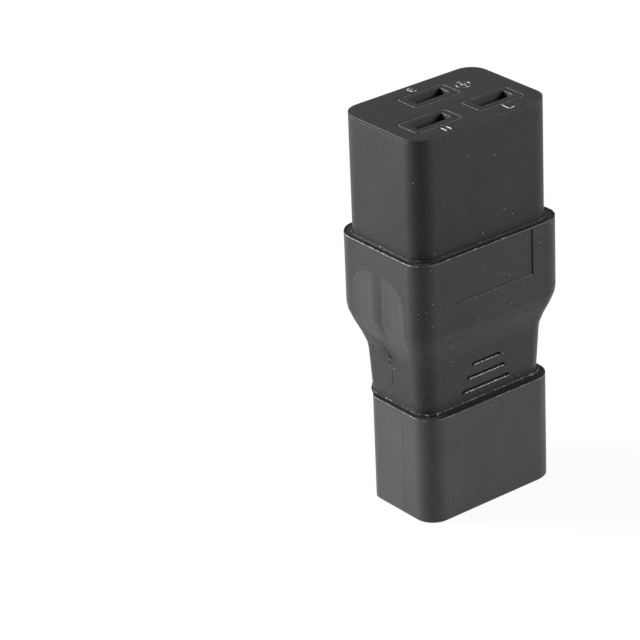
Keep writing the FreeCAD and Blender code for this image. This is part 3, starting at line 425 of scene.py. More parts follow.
def make_edge_highlight():
    """Painted highlight on edges: how far the rounded normal leans away from the true one, broken
    up by a noise."""
    tree, net, given, out = new_group("painted_edge_highlight", {"Width": 0.0002}, ("Mask", "Normal"))
    rounded = net.add("ShaderNodeBevel", {"Radius": given["Width"]}, samples=6).outputs[0]
    both = (rounded, net.geometry("Normal"))
    dot = net.add("ShaderNodeVectorMath", both, operation="DOT_PRODUCT").outputs["Value"]
    lean = net.math("SUBTRACT", 1.0, dot)
    share = net.math("DIVIDE", lean, EDGE_REACH, use_clamp=True)
    left = net.ramp(net.noise(net.here(), HIGHLIGHT_BREAK_SCALE), 0.42, 0.62, 0.15, 1.0)
    net.feed(out["Mask"], net.product(share, left))
    net.feed(out["Normal"], rounded)
    return tree


def make_parting_line():
    """Upright mould parting line on the faces that look to -X or +X: 1 at its place in Y, which
    wanders a little with the height, and 0 from its width on."""
    tree, net, given, out = new_group("parting_line", {"Place": 0.0}, ("Mask",))
    _, y, z = net.axes(net.here())
    sway = net.math("SUBTRACT", net.sway(z, 300.0, 1.0), 0.5)
    place = net.math("MULTIPLY_ADD", sway, PARTING_WANDER, given["Place"])
    sideways = net.math("ABSOLUTE", net.axes(net.geometry("Normal"))[0])
    upright = net.math("GREATER_THAN", sideways, SIDE_FACING)
    net.feed(out["Mask"], net.product(net.near(y, place, PARTING_WIDTH), upright))
    return tree


def make_weld_line():
    """Dark crack on the face that looks to -X: 1 on the slanting line Y = place + slope times the
    height above its foot, from foot to head, with a wander of its own, and 0 from its width on."""
    tree, net, given, out = new_group(
        "weld_line", {"Place": 0.0, "Slope": 0.0, "Foot": 0.02, "Head": 0.03, "Width": 0.00012},
        ("Mask",))
    x, y, z = net.axes(net.here())
    above = net.math("SUBTRACT", z, given["Foot"])
    line = net.math("MULTIPLY_ADD", above, given["Slope"], given["Place"])
    place = net.math("MULTIPLY_ADD", net.sway(z, 900.0, 2.0), CRACK_WANDER, line)
    net.feed(out["Mask"], net.product(
        net.near(y, place, given["Width"]), net.math("GREATER_THAN", z, given["Foot"]),
        net.math("LESS_THAN", z, given["Head"]), net.math("LESS_THAN", x, CRACKED_SIDE)))
    return tree


def make_groove_shade():
    """Dark inside of the grip grooves: 1 where the distance to the nearest groove level, folded at
    half the pitch, is under half the groove's width and X is within the run, which shortens with
    height."""
    tree, net, _, out = new_group("groove_shade", {}, ("Mask",))
    x, _, z = net.axes(net.here())
    rise = net.math("SUBTRACT", z, GROOVE_LEVEL * MM)
    level = net.math("PINGPONG", rise, GROOVE_PITCH / 2 * MM)
    run = net.math("MULTIPLY_ADD", rise, -GROOVE_SHORTENING, GROOVE_RUN)
    net.feed(out["Mask"], net.product(
        net.math("LESS_THAN", level, GROOVE_HALF_WIDTH),
        net.math("LESS_THAN", net.math("ABSOLUTE", x), run),
        net.math("GREATER_THAN", rise, GROOVE_FLOOR),
        net.math("LESS_THAN", rise, GROOVE_CEILING)))
    return tree


GRAIN = make_grain()
DUST = make_dust()
EDGE = make_edge_highlight()
PARTING = make_parting_line()
WELD = make_weld_line()
GROOVE_SHADE = make_groove_shade()


# ----------------------------------------------------------------------------------------------
# finishes
DUST_TONE = (0.36, 0.35, 0.32)
# pale tone of the painted highlight on edges
EDGE_HIGHLIGHT_TONE = (0.15, 0.15, 0.155)
# pale tone painted on the highest pits: painted glints
GLINT_TONE = (0.13, 0.13, 0.13)
# paler tone of the painted light on the thumb recess's lobes
LOBE_LIGHT_TONE = (0.026, 0.026, 0.028)
GROOVE_TONE = (0.0006, 0.0006, 0.0006)
CRACK_TONE = (0.0005, 0.0005, 0.0005)
CLOUD_TONE, CLOUD_GLOSS = 0.08, 0.05  # how much the cloud moves tone and roughness
SPARK_GLOSS = -0.12
PARTING_SINK, CRACK_SINK = -1.5, -6.0  # times the depth of the pits
PAINTED_LIGHT_FADE = 0.0002  # height over which the tone turns into the painted light below a level
LOOKS_UP = (0.6, 0.8)  # share of Z in the normal at which a face starts and ends to count as level
BRUSH_SCALE = (9000.0, 9000.0, 300.0)


def new_material(name):
    """Material, the net of its nodes, its shader and the input of its output node."""
    material = bpy.data.materials.new(name)
    material.use_nodes = True
    material.node_tree.nodes.clear()
    net = Net(material.node_tree)
    shader = net.add("ShaderNodeBsdfPrincipled")
    surface = net.add("ShaderNodeOutputMaterial", (shader.outputs[0],)).inputs[0]
    return material, net, shader, surface


def scaled(tone, share):
    return tuple(v * share for v in tone)


def black_plastic(name, tone, gloss, bend=1.3, fine=5200.0, depth=0.00003, mottle=0.25,
                  painted_glint=0.2, dust=0.1, edge_highlight=0.8, round_edge=0.0002, parting=None,
                  parting_depth=0.8, cracks=(), mesh_shading=False, painted_light_below=None, top_shading=None,
                  ledge_gloss=0.0, grooved=False):
    """Moulded black plastic.  tone: its colour; gloss: its mean roughness; bend: its index of
    refraction; fine: scale of the pits; depth: their depth; mottle: how much they change the tone;
    painted_glint: how pale the tops of the pits are painted, as glints; dust: the share of places
    with a speck; edge_highlight and round_edge: how pale the painted highlight on its edges is and
    how wide its edges are rounded; parting and parting_depth: the place of a parting line and how
    much it shows; cracks: weld lines; mesh_shading: whether the mesh's painted_shading attribute
    paints shade (0, darker) and light (1, paler) into the tone; painted_light_below: a level and
    the paler tone painted below it, for the light that reaches into the slots; top_shading and
    ledge_gloss: the tone painted on faces that look up, painted light where it is paler than the
    tone and painted shade where it is darker, and what their roughness has over the rest; grooved:
    whether the inside of the grip grooves gets painted shade."""
    material, net, shader, _ = new_material(name)
    grain = net.group(GRAIN, Scale=fine)
    edge = net.group(EDGE, Width=round_edge)
    low, high = (
        net.mix(grain["Cloud"], scaled(tone, share - CLOUD_TONE), scaled(tone, share + CLOUD_TONE))
        for share in (1 - mottle, 1 + mottle))
    colour = net.mix(grain["Mottle"], low, high)
    # painted light: a paler tone below a level, for the light that reaches into the slots
    if painted_light_below is not None:
        level, inner = painted_light_below
        below = net.ramp(net.axes(net.here())["Z"], level, level - PAINTED_LIGHT_FADE)
        colour = net.mix(below, colour, inner)
    upward = net.ramp(net.axes(net.geometry("True Normal"))["Z"], *LOOKS_UP)
    # faces that look up get a painted tone: paler, painted light, on the nose and the insert;
    # darker, painted shade, on the shroud and the grip
    if top_shading is not None:
        colour = net.mix(upward, colour, top_shading)
    if grooved:
        colour = net.mix(net.group(GROOVE_SHADE)["Mask"], colour, GROOVE_TONE)
    # painted shade and light from the mesh: darker where its attribute is under 0.5, paler over it
    if mesh_shading:
        painted_shading = net.add("ShaderNodeAttribute", attribute_name="painted_shading").outputs["Fac"]
        colour = net.mix(net.ramp(painted_shading, 0.5, 0.0), colour, scaled(tone, 0.05))
        colour = net.mix(net.ramp(painted_shading, 0.5, 1.0), colour, LOBE_LIGHT_TONE)
    # painted glints: the highest pits turn pale
    colour = net.mix(net.product(grain["Sparkle"], painted_glint), colour, GLINT_TONE)
    # painted highlight on the edges, broken up by a noise
    colour = net.mix(net.product(edge["Mask"], edge_highlight), colour, EDGE_HIGHLIGHT_TONE)
    height = grain["Height"]
    if parting is not None:
        line = net.group(PARTING, Place=parting)["Mask"]
        colour = net.mix(net.product(line, parting_depth), colour, scaled(tone, 0.3))
        height = net.math("MULTIPLY_ADD", line, PARTING_SINK * parting_depth, height)
    for crack in cracks:
        line = net.group(WELD, **crack)["Mask"]
        colour = net.mix(line, colour, CRACK_TONE)
        height = net.math("MULTIPLY_ADD", line, CRACK_SINK, height)
    colour = net.mix(net.group(DUST, Share=dust)["Mask"], colour, DUST_TONE)
    net.feed(shader.inputs["Base Color"], colour)
    rough = net.ramp(grain["Cloud"], 0.0, 1.0, gloss - CLOUD_GLOSS, gloss + CLOUD_GLOSS)
    rough = net.math("MULTIPLY_ADD", grain["Sparkle"], SPARK_GLOSS, rough)
    rough = net.math("MULTIPLY_ADD", upward, ledge_gloss, rough)
    net.feed(shader.inputs["Roughness"], rough)
    net.feed(shader.inputs["Normal"], net.bump(1.0, depth, height, edge["Normal"]))
    net.feed(shader.inputs["IOR"], bend)
    return material


def plated_metal(name, tone, gloss):
    """Rolled and plated strip: faint lines along Z move its roughness and its height."""
    material, net, shader, _ = new_material(name)
    where = net.here()
    values = {"Vector": where, "Scale": BRUSH_SCALE}
    lines = net.noise(net.add("ShaderNodeMapping", values).outputs[0], 1.0)
    patch = net.noise(where, 500.0)
    net.feed(shader.inputs["Base Color"], net.mix(patch, scaled(tone, 0.8), tone))
    net.feed(shader.inputs["Roughness"], net.ramp(lines, 0.0, 1.0, gloss - 0.08, gloss + 0.1))
    net.feed(shader.inputs["Normal"], net.bump(0.4, 0.00001, lines))
    net.feed(shader.inputs["Metallic"], 1.0)
    return material


# painted light: a paler tone on faces that look up, with their extra roughness
TOP_LIGHT_AND_GLOSS = dict(top_shading=(0.024, 0.0238, 0.026), ledge_gloss=0.4)
nose_black = black_plastic(
    "nose_black", (0.0145, 0.0143, 0.0165), 0.47, bend=1.24, depth=0.000018, mottle=0.12,
    painted_glint=0.06, edge_highlight=0.05, round_edge=0.0006, parting=0.0003, parting_depth=0.35, **TOP_LIGHT_AND_GLOSS)
# the shroud's faces that look up are painted darker: painted shade
shroud_black = black_plastic(
    "shroud_black", (0.030, 0.030, 0.032), 0.5, fine=4600.0, depth=0.000014, mottle=0.1, dust=0.05,
    painted_glint=0.05, edge_highlight=0.1, parting=-0.0035, top_shading=(0.0095, 0.0095, 0.01), ledge_gloss=0.3)
CRACKS = (dict(Place=-0.0006, Slope=0.72, Foot=0.0275, Head=0.0303, Width=0.0002),
          dict(Place=-0.0006, Slope=-0.08, Foot=0.0222, Head=0.0253, Width=0.00014))
# the grip's faces that look up are painted darker: painted shade
GRIP_FINISH = dict(
    tone=(0.0155, 0.0153, 0.0175), gloss=0.43, fine=4200.0, depth=0.00002, mottle=0.16, dust=0.2,
    painted_glint=0.12, edge_highlight=0.06, round_edge=0.0001, top_shading=(0.0085, 0.0085, 0.009), ledge_gloss=0.3,
    parting=0.0, parting_depth=0.25, cracks=CRACKS)
grip_black = black_plastic("grip_black", grooved=True, **GRIP_FINISH)
# the thumb skins take painted light and shade from their mesh
thumb_black = black_plastic("thumb_black", mesh_shading=True, **GRIP_FINISH)
# inside the slots, under the face's level, the insert is painted paler: painted light
insert_black = black_plastic(
    "insert_black", (0.0135, 0.0133, 0.0155), 0.47, bend=1.23, depth=0.000018, mottle=0.12,
    dust=0.02, painted_glint=0.06, edge_highlight=0.12, painted_light_below=(0.0679, (0.055, 0.055, 0.057)), **TOP_LIGHT_AND_GLOSS)
filling_grey = black_plastic("filling_grey", (0.05, 0.05, 0.05), 0.6, fine=3000.0, dust=0.0)
# near-black: painted shade in the hollow round the gate's nub
hollow_shade_black = black_plastic("hollow_shade_black", (0.002, 0.002, 0.002), 0.6, bend=1.2, dust=0.0,
                           painted_glint=0.0, edge_highlight=0.0)
# pale grey on flash fins and crumbs of black plastic: a painted highlight
flash_highlight_grey = black_plastic("flash_highlight_grey", (0.24, 0.24, 0.245), 0.4, fine=3000.0, mottle=0.4,
                           dust=0.0)
# pale grey on raised black strokes and ridges: a painted highlight
mark_highlight_grey = black_plastic("mark_highlight_grey", (0.5, 0.5, 0.5), 0.35, fine=4000.0, mottle=0.3, dust=0.0)
pin_nickel = plated_metal("pin_nickel", (0.78, 0.74, 0.67), 0.28)
contact_brass = plated_metal("contact_brass", (0.72, 0.56, 0.3), 0.33)
copper = plated_metal("conductor_copper", (0.7, 0.36, 0.22), 0.4)
SLEEVES = {
    "line": ("sleeve_brown", (0.12, 0.045, 0.015)),
    "neutral": ("sleeve_blue", (0.01, 0.05, 0.25)),
    "earth": ("sleeve_green", (0.08, 0.25, 0.02)),
}
FINISHES = {
    "inlet_shroud": shroud_black,
    "outlet_housing": nose_black,
    "grip_body": grip_black,
    "contact_carrier": insert_black,
    "carrier_backplate": insert_black,
    "pin_carrier": insert_black,
    "inner_mould": filling_grey,
}
for pole in POLES:
    FINISHES[f"{pole}_pin"] = pin_nickel
    FINISHES[f"{pole}_contact"] = contact_brass
    FINISHES[f"{pole}_wire"] = copper
    FINISHES[f"{pole}_sleeve"] = black_plastic(*SLEEVES[pole], 0.45, dust=0.0, painted_glint=0.0)
for name, node in nodes.items():
    for material_slot in node.material_slots:
        material_slot.material = FINISHES[name]


# ----------------------------------------------------------------------------------------------
# pieces on the outlet's face: raised pole marks and the flash of the contact towers
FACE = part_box("outlet_housing")[1][2] / MM  # level of the outlet's face
MARK_WIDTH, MARK_HEIGHT = 0.045, 0.13  # half the width of a raised stroke, and its height
SLOT_ROWS = {"neutral": (-6.5, -3.8), "line": (6.5, -3.8), "earth": (0.0, 4.1)}
TOWER_HALF = (4.68, 2.46)
TOWER_SHIFT = (-0.03, -0.14)
TOWER_ROUND = 0.7
TOWER_STEPS = 360
SLOT_END = 3.42  # how far the far end of a slot's mouth is from its middle
SLOT_SIDES = (-0.95, 1.0)


def strokes(*lines, half_width=MARK_WIDTH, height=MARK_HEIGHT):
    """Raised strokes on the outlet's face."""
    return [stroke(start, end, FACE, half_width, height) for start, end in lines]


def earth_sign(centre, radius):
    """Earth sign in a ring: an upright with three shorter and shorter bars under it.  The ring's
    ridge is thick at its four quarters and thin between them, as the eighth power of the cosine of
    twice the turn."""
    x, y = centre
    spots, facing = outline(box_corners(radius, radius, centre), [radius * 0.999] * 4, 96)
    turn = np.arctan2(facing[:, 1], facing[:, 0])
    size = 0.022 + 0.095 * np.cos(2 * turn) ** 8
    ring = ring_ridge(spots, facing, FACE, size, size)
    bars = strokes(
        ((x, y + 0.8), (x - 0.05, y + 0.15)), ((x - 0.65, y + 0.05), (x + 0.65, y + 0.15)),
        ((x - 0.4, y - 0.34), (x + 0.45, y - 0.3)), ((x - 0.2, y - 0.72), (x + 0.15, y - 0.7)),
        half_width=0.09, height=0.04)
    return [ring, *bars]


def make_marks():
    """Pole marks of straight strokes: N and L by the front slots, E and the earth sign behind.
    Their pale grey is a painted highlight on the raised strokes.
    """
    left, right, low, high = -7.15, -6.1, -8.75, -7.25
    line_corner = (5.75, -8.75)
    marks = {
        "neutral_mark": [
            *strokes(((left, low), (left, high)), ((right, low), (right, high))),
            *strokes(((left, high), (right, low)), half_width=0.04, height=0.02)],
        "line_mark": strokes(((5.85, -6.8), line_corner), (line_corner, (7.0, -8.65))),
        "earth_letter": [
            *strokes(((-0.75, 8.5), (-0.1, 8.55)), ((-0.72, 7.8), (-0.05, 7.95)),
                     ((-0.65, 7.1), (0.1, 7.12))),
            *strokes(((-0.95, 8.5), (-0.68, 7.1)), half_width=0.12, height=0.04)],
        "earth_sign": earth_sign((6.99, 3.8), 1.23),
    }
    for name, shells in marks.items():
        new_piece(name, mark_highlight_grey, shells)


def make_tower_flash():
    """Flash round each contact tower: a closed ridge whose size comes and goes, larger on the ends
    that face along X, and a short ridge on the far end of the slot's mouth.  Its pale grey is a
    painted highlight."""
    for number, (pole, (x, y)) in enumerate(SLOT_ROWS.items()):
        corners = box_corners(*TOWER_HALF, (x + TOWER_SHIFT[0], y + TOWER_SHIFT[1]))
        spots, facing = outline(corners, [TOWER_ROUND] * 4, TOWER_STEPS)
        share = uneven(np.arange(TOWER_STEPS) / TOWER_STEPS, (2, 50), 20 + number)
        ends = 0.6 + 0.4 * np.abs(facing[:, 0]) ** 2
        size = 0.03 + 0.022 * ends * (0.4 + 0.6 * np.clip(share * 1.5 - 0.3, 0.0, 1.0))
        ridge = ring_ridge(spots, facing, FACE, size, size * 0.6)
        start, end = ((x + SLOT_END, y + aside) for aside in SLOT_SIDES)
        lip = stroke(start, end, FACE, 0.055, 0.04)
        new_piece(f"{pole}_tower_flash", flash_highlight_grey, [ridge, lip])


# ----------------------------------------------------------------------------------------------
# pieces on the mould's edges.  Keyed edges: half width, half depth, cut of the back corners, and
# the radii of the front and of the back corners
COLLAR_EDGE = (15.2, 10.7, 2.43, 3.2, 3.4)
COLLAR_FIN_EDGE = (15.18, 10.68, 2.43, 3.2, 3.4)
FOOT_LIP_EDGE = (12.98, 8.58, 3.3, 3.0, 1.7)
SHOULDER_EDGE = (13.65, 9.9, 5.8, 3.6, 2.0)
FLASH_STEPS, RING_STEPS = 900, 480


def edge_flash(name, edge, level, tilt, wide, tall, waves, seed, bare, ends=1.0):
    """Flash along a level edge: a closed fin that leans outwards by the tilt, pale grey as a
    painted highlight.  It grows where an uneven share is over a limit.  The limit is bare, less
    ends times bare where the edge faces along X, so a negative one leaves more of those stretches
    bare."""
    spots, facing = edge
    share = uneven(np.arange(len(spots)) / len(spots), waves, seed)
    limit = bare * (1.0 - ends * np.abs(facing[:, 0]) ** 4)
    grown = np.clip((share - limit) / (1.0 - limit), 0.0, 1.0)
    across, high = wide * (0.15 + 0.85 * grown), tall * (0.2 + 0.8 * grown)
    new_piece(name, flash_highlight_grey, [ring_ridge(spots, facing, level, across, high, tilt)])


def make_edge_flash():
    """Flash on the collar, on the lip round the outlet's foot, on the waist's foot and on the
    shroud's shoulder."""
    edge_flash("collar_edge_flash", keyed_outline(*COLLAR_FIN_EDGE, FLASH_STEPS), level=47.26,
               tilt=0.5, wide=0.05, tall=0.08, waves=(3, 90), seed=5, bare=0.75)
    edge_flash("lip_flash", outline(box_corners(14.22, 9.77), [3.5] * 4, FLASH_STEPS), level=47.54,
               tilt=0.5, wide=0.025, tall=0.03, waves=(3, 60), seed=6, bare=0.3)
    edge_flash("waist_foot_flash", keyed_outline(*FOOT_LIP_EDGE, FLASH_STEPS), level=19.43,
               tilt=0.8, wide=0.06, tall=0.1, waves=(3, 110), seed=7, bare=0.08, ends=-4.0)
    edge_flash("shoulder_flash", keyed_outline(*SHOULDER_EDGE, FLASH_STEPS), level=18.96,
               tilt=0.6, wide=0.045, tall=0.055, waves=(3, 40), seed=8, bare=0.1)


def make_square_edges():
    """Rings of a constant section that square off the bevelled outer edges of the outlet's face,
    the collar's head and the shroud's shoulder."""
    rings = (
        ("face_square_edge", "shell_plastic", nose_black,
         outline(box_corners(13.95, 9.5), [3.3] * 4, RING_STEPS),
         [(-0.45, 67.996), (-0.04, 68.001), (0.0, 67.96), (0.005, 67.5), (-0.4, 67.6)]),
        ("collar_square_edge", "grip_plastic", grip_black,
         keyed_outline(*COLLAR_EDGE, RING_STEPS),
         [(-0.36, 47.22), (0.0, 47.26), (0.006, 46.84), (-0.3, 46.9)]),
        ("shoulder_square_edge", "shell_plastic", shroud_black,
         keyed_outline(*SHOULDER_EDGE, RING_STEPS),
         [(-0.46, 19.12), (0.0, 18.95), (0.006, 18.64), (-0.46, 18.9)]),
    )
    for name, slot, finish, edge, profile in rings:
        new_piece(name, finish, [profile_ring(*edge, profile)])


def make_groove_flash():
    """Flash on the lower edge of every front grip groove: a ridge along X on the leaning face,
    straight but for a small wander up and down, whose size comes and goes.  Its pale grey is a
    painted highlight on that edge."""
    steps = 150
    ridges = []
    for number in range(GROOVE_COUNT):
        along = np.linspace(-4.5 + number, 4.85 - number, steps)
        share = uneven(np.linspace(0.0, 1.0, steps), (3, 34), 11 + number)
        level = GROOVE_LEVEL - 0.27 + GROOVE_PITCH * number + 0.05 * share
        depth = -8.3 - 0.0443 * (level - WAIST_FOOT)
        size = 0.025 + 0.055 * share
        ridges.append(front_ridge(along, depth, level, 1.2 * size, size))
    new_piece("groove_flash", mark_highlight_grey, ridges)


def make_label_flash():
    """Flash on the lower edge of the label recess: a thin ridge along X that grows towards +X and
    comes and goes.  Its pale grey is a painted highlight on that edge."""
    start, end, steps = -8.0, 8.55, 220
    along = np.linspace(start, end, steps)
    share = uneven(np.linspace(0.0, 1.0, steps), (3, 40), 15)
    size = (0.012 + 0.03 * share) * (0.6 + 0.4 * (along - start) / (end - start))
    new_piece("label_flash", flash_highlight_grey,
              [front_ridge(along, -10.68, 38.9, size, size)])


def make_crumbs():
    """Crumbs of flash where the grip was trimmed, pale grey as a painted highlight, and near-black
    crumbs that paint the shade of the hollow round the gate's nub in the foot of a thumb recess.
    Each has a centre and three half sizes."""
    trimmed = [
        ((-14.2, -0.1, 47.5), (0.12, 0.2, 0.12)), ((3.4, -10.3, 47.27), (0.14, 0.1, 0.06)),
        ((-12.0, -7.9, 19.33), (0.13, 0.12, 0.06)), ((-10.6, -8.7, 19.28), (0.15, 0.08, 0.06)),
        ((9.8, -8.6, 19.3), (0.22, 0.12, 0.09)), ((-13.12, 0.1, 26.95), (0.06, 0.08, 0.11)),
        ((-13.06, -0.05, 25.85), (0.05, 0.1, 0.07)), ((-13.06, -1.1, 25.75), (0.04, 0.12, 0.05)),
    ]
    hollow_shades = [
        ((-13.1, -0.12, 27.45), (0.03, 0.12, 0.26)), ((-13.08, 0.02, 26.4), (0.04, 0.17, 0.32)),
    ]
    for name, finish, spots, seed in (("trimmed_flash", flash_highlight_grey, trimmed, 0),
                                      ("gate_hollow_shade", hollow_shade_black, hollow_shades, 30)):
        shells = [crumb(centre, size, seed + k) for k, (centre, size) in enumerate(spots)]
        new_piece(name, finish, shells)


# ----------------------------------------------------------------------------------------------
# thumb recess: a soft skin over the plain recess of each short side.  Grip sizes: half width, half
# depth, cut, front and back radius at the waist's foot, what the waist adds to them up to its head,
# and what the swell adds
FOOT_SIZES = (12.7, 8.3, 3.2, 3.0, 1.6)
WAIST_GROWTH = (0.4, 0.35, 0.0, 0.0, 0.0)
SWELL_GROWTH = (2.1, 2.05, -0.768, 0.2, 1.82)
SECTIONS = np.array((0.0, 0.15, 0.38, 0.62, 0.85, 1.0))  # of the swell's height
COLLAR_HALF = 15.2
RECESS_FOOT, RECESS_HEAD, RECESS_HALF, HEAD_ROUND = 25.7, 43.0, 6.6, 4.6
LOBE_FACE, LOBE_HEAD, LOBE_FOOT = 14.92, 36.994, 35.2
ENTRY_RADIUS, TURN_RADIUS, DISH_RADIUS = 64.55, 8.88, 6.17
BEND, DISH_LEVEL, DISH_FACE = 30.54, 27.3, 12.68
RIB_HALF, RIB_FOOT, RIB_CREST, RIB_ROOT = 1.35, 31.25, 34.57, 13.943
# the dish's slanting sides: a point of each in Y and Z, its inward direction and that one's length
DISH_LEFT = ((-0.4, 26.3), (-3.4, 4.8), 5.88)
DISH_RIGHT = ((-2.2, 26.4), (2.6, 3.5), 4.36)
RIM_FADE, LEFT_FADE, RIGHT_FADE, FLANK_FADE = 1.9, 1.7, 2.3, 1.5
DEPTH_SHARE = 0.32  # of the plain recess's depth that the skin keeps
SKIN_COLUMNS, SKIN_ROWS = 132, 172
SKIN_SPAN = ((-7.4, 7.2), (24.7, 43.9))  # in Y and in Z
SKIN_HUB = (10.9, 0.0, 34.0)
RIM_DIP = 0.08


def smooth(share):
    """0 to 1 with level ends: 3h^2 - 2h^3 of the share h, held at its ends."""
    h = np.clip(share, 0.0, 1.0)
    return h * h * (3.0 - 2.0 * h)


def blank_face(y, z):
    """How far out the grip's side face is before the recess: the half width, which grows along the
    waist and by the S of the swell, less what the round front corner and the cut back corner take
    away."""
    low = np.clip((z - WAIST_FOOT) / (WAIST_HEAD - WAIST_FOOT), 0.0, 1.0)
    high = np.interp((z - WAIST_HEAD) / (COLLAR_FOOT - WAIST_HEAD), SECTIONS, smooth(SECTIONS))
    width, depth, cut, front, back = (
        foot + waist * low + swell * high
        for foot, waist, swell in zip(FOOT_SIZES, WAIST_GROWTH, SWELL_GROWTH))
    ahead = np.clip(-y - (depth - front), 0.0, front * 0.98)
    behind = np.clip(y - (depth - cut - back * math.tan(math.pi / 8)), 0.0, None)
    bend = back * math.sin(math.pi / 4)
    round_part = np.minimum(behind, bend)
    lost = back - np.sqrt(back ** 2 - round_part ** 2) + np.clip(behind - bend, 0.0, None)
    return width - (front - np.sqrt(front ** 2 - ahead ** 2)) - lost


def recess_floor(z):
    """How far out the plain recess's floor is: a hollow run-in, an upright stretch, an arc that
    turns inwards and the dish's arc, from the head down."""
    over, under, off = z - LOBE_HEAD, LOBE_FOOT - z, z - DISH_LEVEL
    entry = LOBE_FACE + ENTRY_RADIUS - np.sqrt(ENTRY_RADIUS ** 2 - np.clip(over, 0.0, None) ** 2)
    turn = LOBE_FACE - TURN_RADIUS + np.sqrt(TURN_RADIUS ** 2 - np.clip(under, 0.0, 8.0) ** 2)
    dish = DISH_FACE + DISH_RADIUS - np.sqrt(DISH_RADIUS ** 2 - np.clip(off, -4.0, 4.0) ** 2)
    return np.where(z > LOBE_FOOT, entry, np.where(z > BEND, turn, dish))


def recess_reach(y, z):
    """How far inside the recess's outline a place is: a half circle at the foot, round corners at
    the head."""
    foot = RECESS_HALF - np.hypot(y, z - RECESS_FOOT - RECESS_HALF)
    across, up = np.abs(y) - (RECESS_HALF - HEAD_ROUND), z - (RECESS_HEAD - HEAD_ROUND)
    corner = np.hypot(np.maximum(across, 0.0), np.maximum(up, 0.0))
    outside = corner + np.minimum(np.maximum(across, up), 0.0)
    return np.where(z < RECESS_FOOT + RECESS_HALF, foot, HEAD_ROUND - outside)


def past_side(y, z, side):
    """Distance past one of the dish's slanting sides, in its inward direction."""
    (side_y, side_z), (across, up), length = side
    return (across * (y - side_y) + up * (z - side_z)) / length


def thumb_form(y, z):
    """The recess with soft sides: how far out it is, and its painted shading.  Its depth is a share
    of the plain recess's, faded in over the distance from the outline and over the two slanting
    sides of the dish; the rib's flanks fade from its face to the floor and its crest stands a
    little proud.
    Outside the outline the skin dips under the face.  The painted shading is paler in the two
    lobes, painted light, and darker on the rib's front flank and in the dish, painted shade."""
    blank, middle = blank_face(y, z), blank_face(0.0 * y, z)
    floor = np.clip(middle - recess_floor(z), 0.0, None)
    rise = np.clip((z - RIB_FOOT) / (RIB_CREST - RIB_FOOT), 0.0, 1.0)
    rib = np.minimum(np.clip(middle - RIB_ROOT - (COLLAR_HALF - RIB_ROOT) * rise, 0.0, None), floor)
    rib = np.where(z < RIB_FOOT, floor, rib)
    flanks = smooth((np.abs(y) - RIB_HALF) / FLANK_FADE)
    reach = recess_reach(y, z)
    inside = (smooth(reach / RIM_FADE) * smooth(past_side(y, z, DISH_LEFT) / LEFT_FADE)
              * smooth(past_side(y, z, DISH_RIGHT) / RIGHT_FADE))
    taken = DEPTH_SHARE * np.clip(rib + flanks * (floor - rib) - 0.03, 0.0, None) * inside
    crest = np.exp(-(y / 0.75) ** 2) * smooth((z - 31.0) / 3.0) * smooth((RECESS_HEAD - z) / 3.0)
    cover = 0.015 - 0.06 * smooth((-reach - 0.1) / 0.8)
    # painted light on the two lobes, painted shade on the rib's front flank and in the dish
    lobes = smooth(reach / 0.4) * smooth((np.abs(y + 0.05) - 0.95) / 0.3) * smooth((z - 27.5) / 6.0)
    dark_flank = (smooth((1.2 - np.abs(y)) / 0.35) * smooth((z - 28.5) / 4.0)
                  * smooth((RECESS_HEAD - z) / 2.5))
    dark_dish = np.exp(-((y + 0.3) / 1.7) ** 2 - ((z - 27.5) / 1.1) ** 2)
    painted_shading = np.clip(0.5 + 0.5 * lobes - 0.06 * dark_flank - 0.2 * dark_dish, 0.0, 1.0)
    return blank + cover - taken + 0.05 * crest, painted_shading


def make_thumb_skin(name, side):
    """Skin over the thumb recess of one short side: the form above on a grid of Y and Z, its rim
    dipped under the face and joined to one point inside the wall."""
    y, z = np.meshgrid(np.linspace(*SKIN_SPAN[0], SKIN_COLUMNS),
                       np.linspace(*SKIN_SPAN[1], SKIN_ROWS), indexing="ij")
    out, painted_shading = thumb_form(y, z)
    rim = np.ones(y.shape, bool)
    rim[1:-1, 1:-1] = False
    out = np.where(rim, out - RIM_DIP, out)
    skin = np.stack([side * out, y, z], axis=2).reshape(-1, 3)
    points = np.vstack([skin, np.array(SKIN_HUB) * (side, 1.0, 1.0)])
    index = np.arange(len(skin)).reshape(y.shape).T
    loop = np.concatenate([index[0, :-1], index[:-1, -1], index[-1, :0:-1], index[:0:-1, 0]])
    fan = np.column_stack([np.roll(loop, -1), loop, np.full(loop.size, len(skin))]).tolist()
    faces = outward(points, grid_faces(SKIN_COLUMNS, SKIN_ROWS, False, False) + fan)
    piece = new_piece(name, thumb_black, [(points, faces)])
    # the painted light and shade go on the points as an attribute
    field = piece.data.attributes.new("painted_shading", "FLOAT", "POINT")
    field.data.foreach_set("value", np.append(painted_shading.ravel(), 0.5))


# ----------------------------------------------------------------------------------------------
# studio
LAMP_AIM = np.array((0.0, 0.0, 0.03))
SOFTBOX_SIZE = 0.35
FLOOR_REACH = 3.0
FLOOR_GLOW = 0.93  # share of the floor's look that is plain white
BLACK, WHITE = (0.0, 0.0, 0.0), (1.0, 1.0, 1.0)


def new_lamp(name, power, spot):
    """Square softbox that faces the adapter."""
    data = bpy.data.lights.new(name, "AREA")
    data.shape = "RECTANGLE"
    data.size = data.size_y = SOFTBOX_SIZE
    data.energy = power
    away = np.array(spot) - LAMP_AIM
    away = away / np.linalg.norm(away)
    side = np.cross(UP, away)
    side = side / np.linalg.norm(side)
    stand(new_object(name, data), side, np.cross(away, side), away, spot)


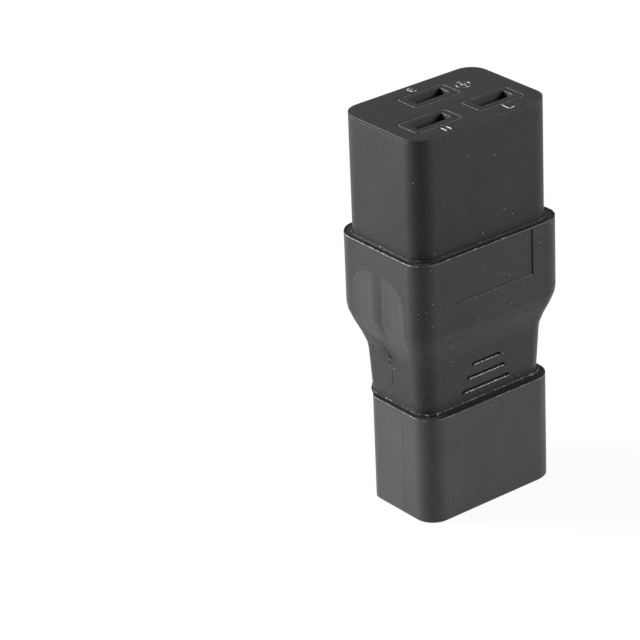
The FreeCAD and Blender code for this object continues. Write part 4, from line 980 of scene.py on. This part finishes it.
def seen_plainly(net):
    """1 for the rays of the camera, of a reflection and of a clear body, 0 for the rays that carry
    light."""
    ray = net.add("ShaderNodeLightPath").outputs
    first = net.math("MAXIMUM", ray["Is Camera Ray"], ray["Is Glossy Ray"])
    return net.math("MAXIMUM", first, ray["Is Transmission Ray"])


def make_floor():
    """Plain pale floor: a square sheet at the level that the adapter stands on, clear when seen
    from below."""
    mesh = bpy.data.meshes.new("floor")
    corners = [(*corner, 0.0) for corner in box_corners(FLOOR_REACH, FLOOR_REACH)]
    mesh.from_pydata(corners, [], [(0, 1, 2, 3)])
    floor = new_object("floor", mesh)
    material, net, shader, surface = new_material("floor_white")
    net.feed(shader.inputs["Base Color"], (0.85, 0.85, 0.85, 1.0))
    net.feed(shader.inputs["Roughness"], 0.9)
    glow = net.add("ShaderNodeEmission", ((*WHITE, 1.0),)).outputs[0]
    share = net.product(seen_plainly(net), FLOOR_GLOW)
    blend = net.add("ShaderNodeMixShader", (share, shader.outputs[0], glow)).outputs[0]
    clear = net.add("ShaderNodeBsdfTransparent").outputs[0]
    sided = net.add("ShaderNodeMixShader", (net.geometry("Backfacing"), blend, clear))
    net.feed(surface, sided.outputs[0])
    mesh.materials.append(material)


def make_world():
    """Backdrop that is white where it is seen and black as a source of light."""
    world = bpy.data.worlds.new("studio")
    bpy.context.scene.world = world
    world.use_nodes = True
    world.node_tree.nodes.clear()
    net = Net(world.node_tree)
    back = net.add("ShaderNodeBackground", (net.mix(seen_plainly(net), BLACK, WHITE),))
    net.add("ShaderNodeOutputWorld", (back.outputs[0],))


make_camera()
make_marks()
make_tower_flash()
make_edge_flash()
make_square_edges()
make_groove_flash()
make_label_flash()
make_crumbs()
make_thumb_skin("thumb_recess_left", -1.0)
make_thumb_skin("thumb_recess_right", 1.0)
make_floor()
make_world()
new_lamp("left_softbox", 12.4, (-0.3987, 0.3987, 0.2052))
new_lamp("right_softbox", 5.1, (0.3987, -0.3987, 0.2052))
bpy.context.scene.view_settings.view_transform = "Standard"
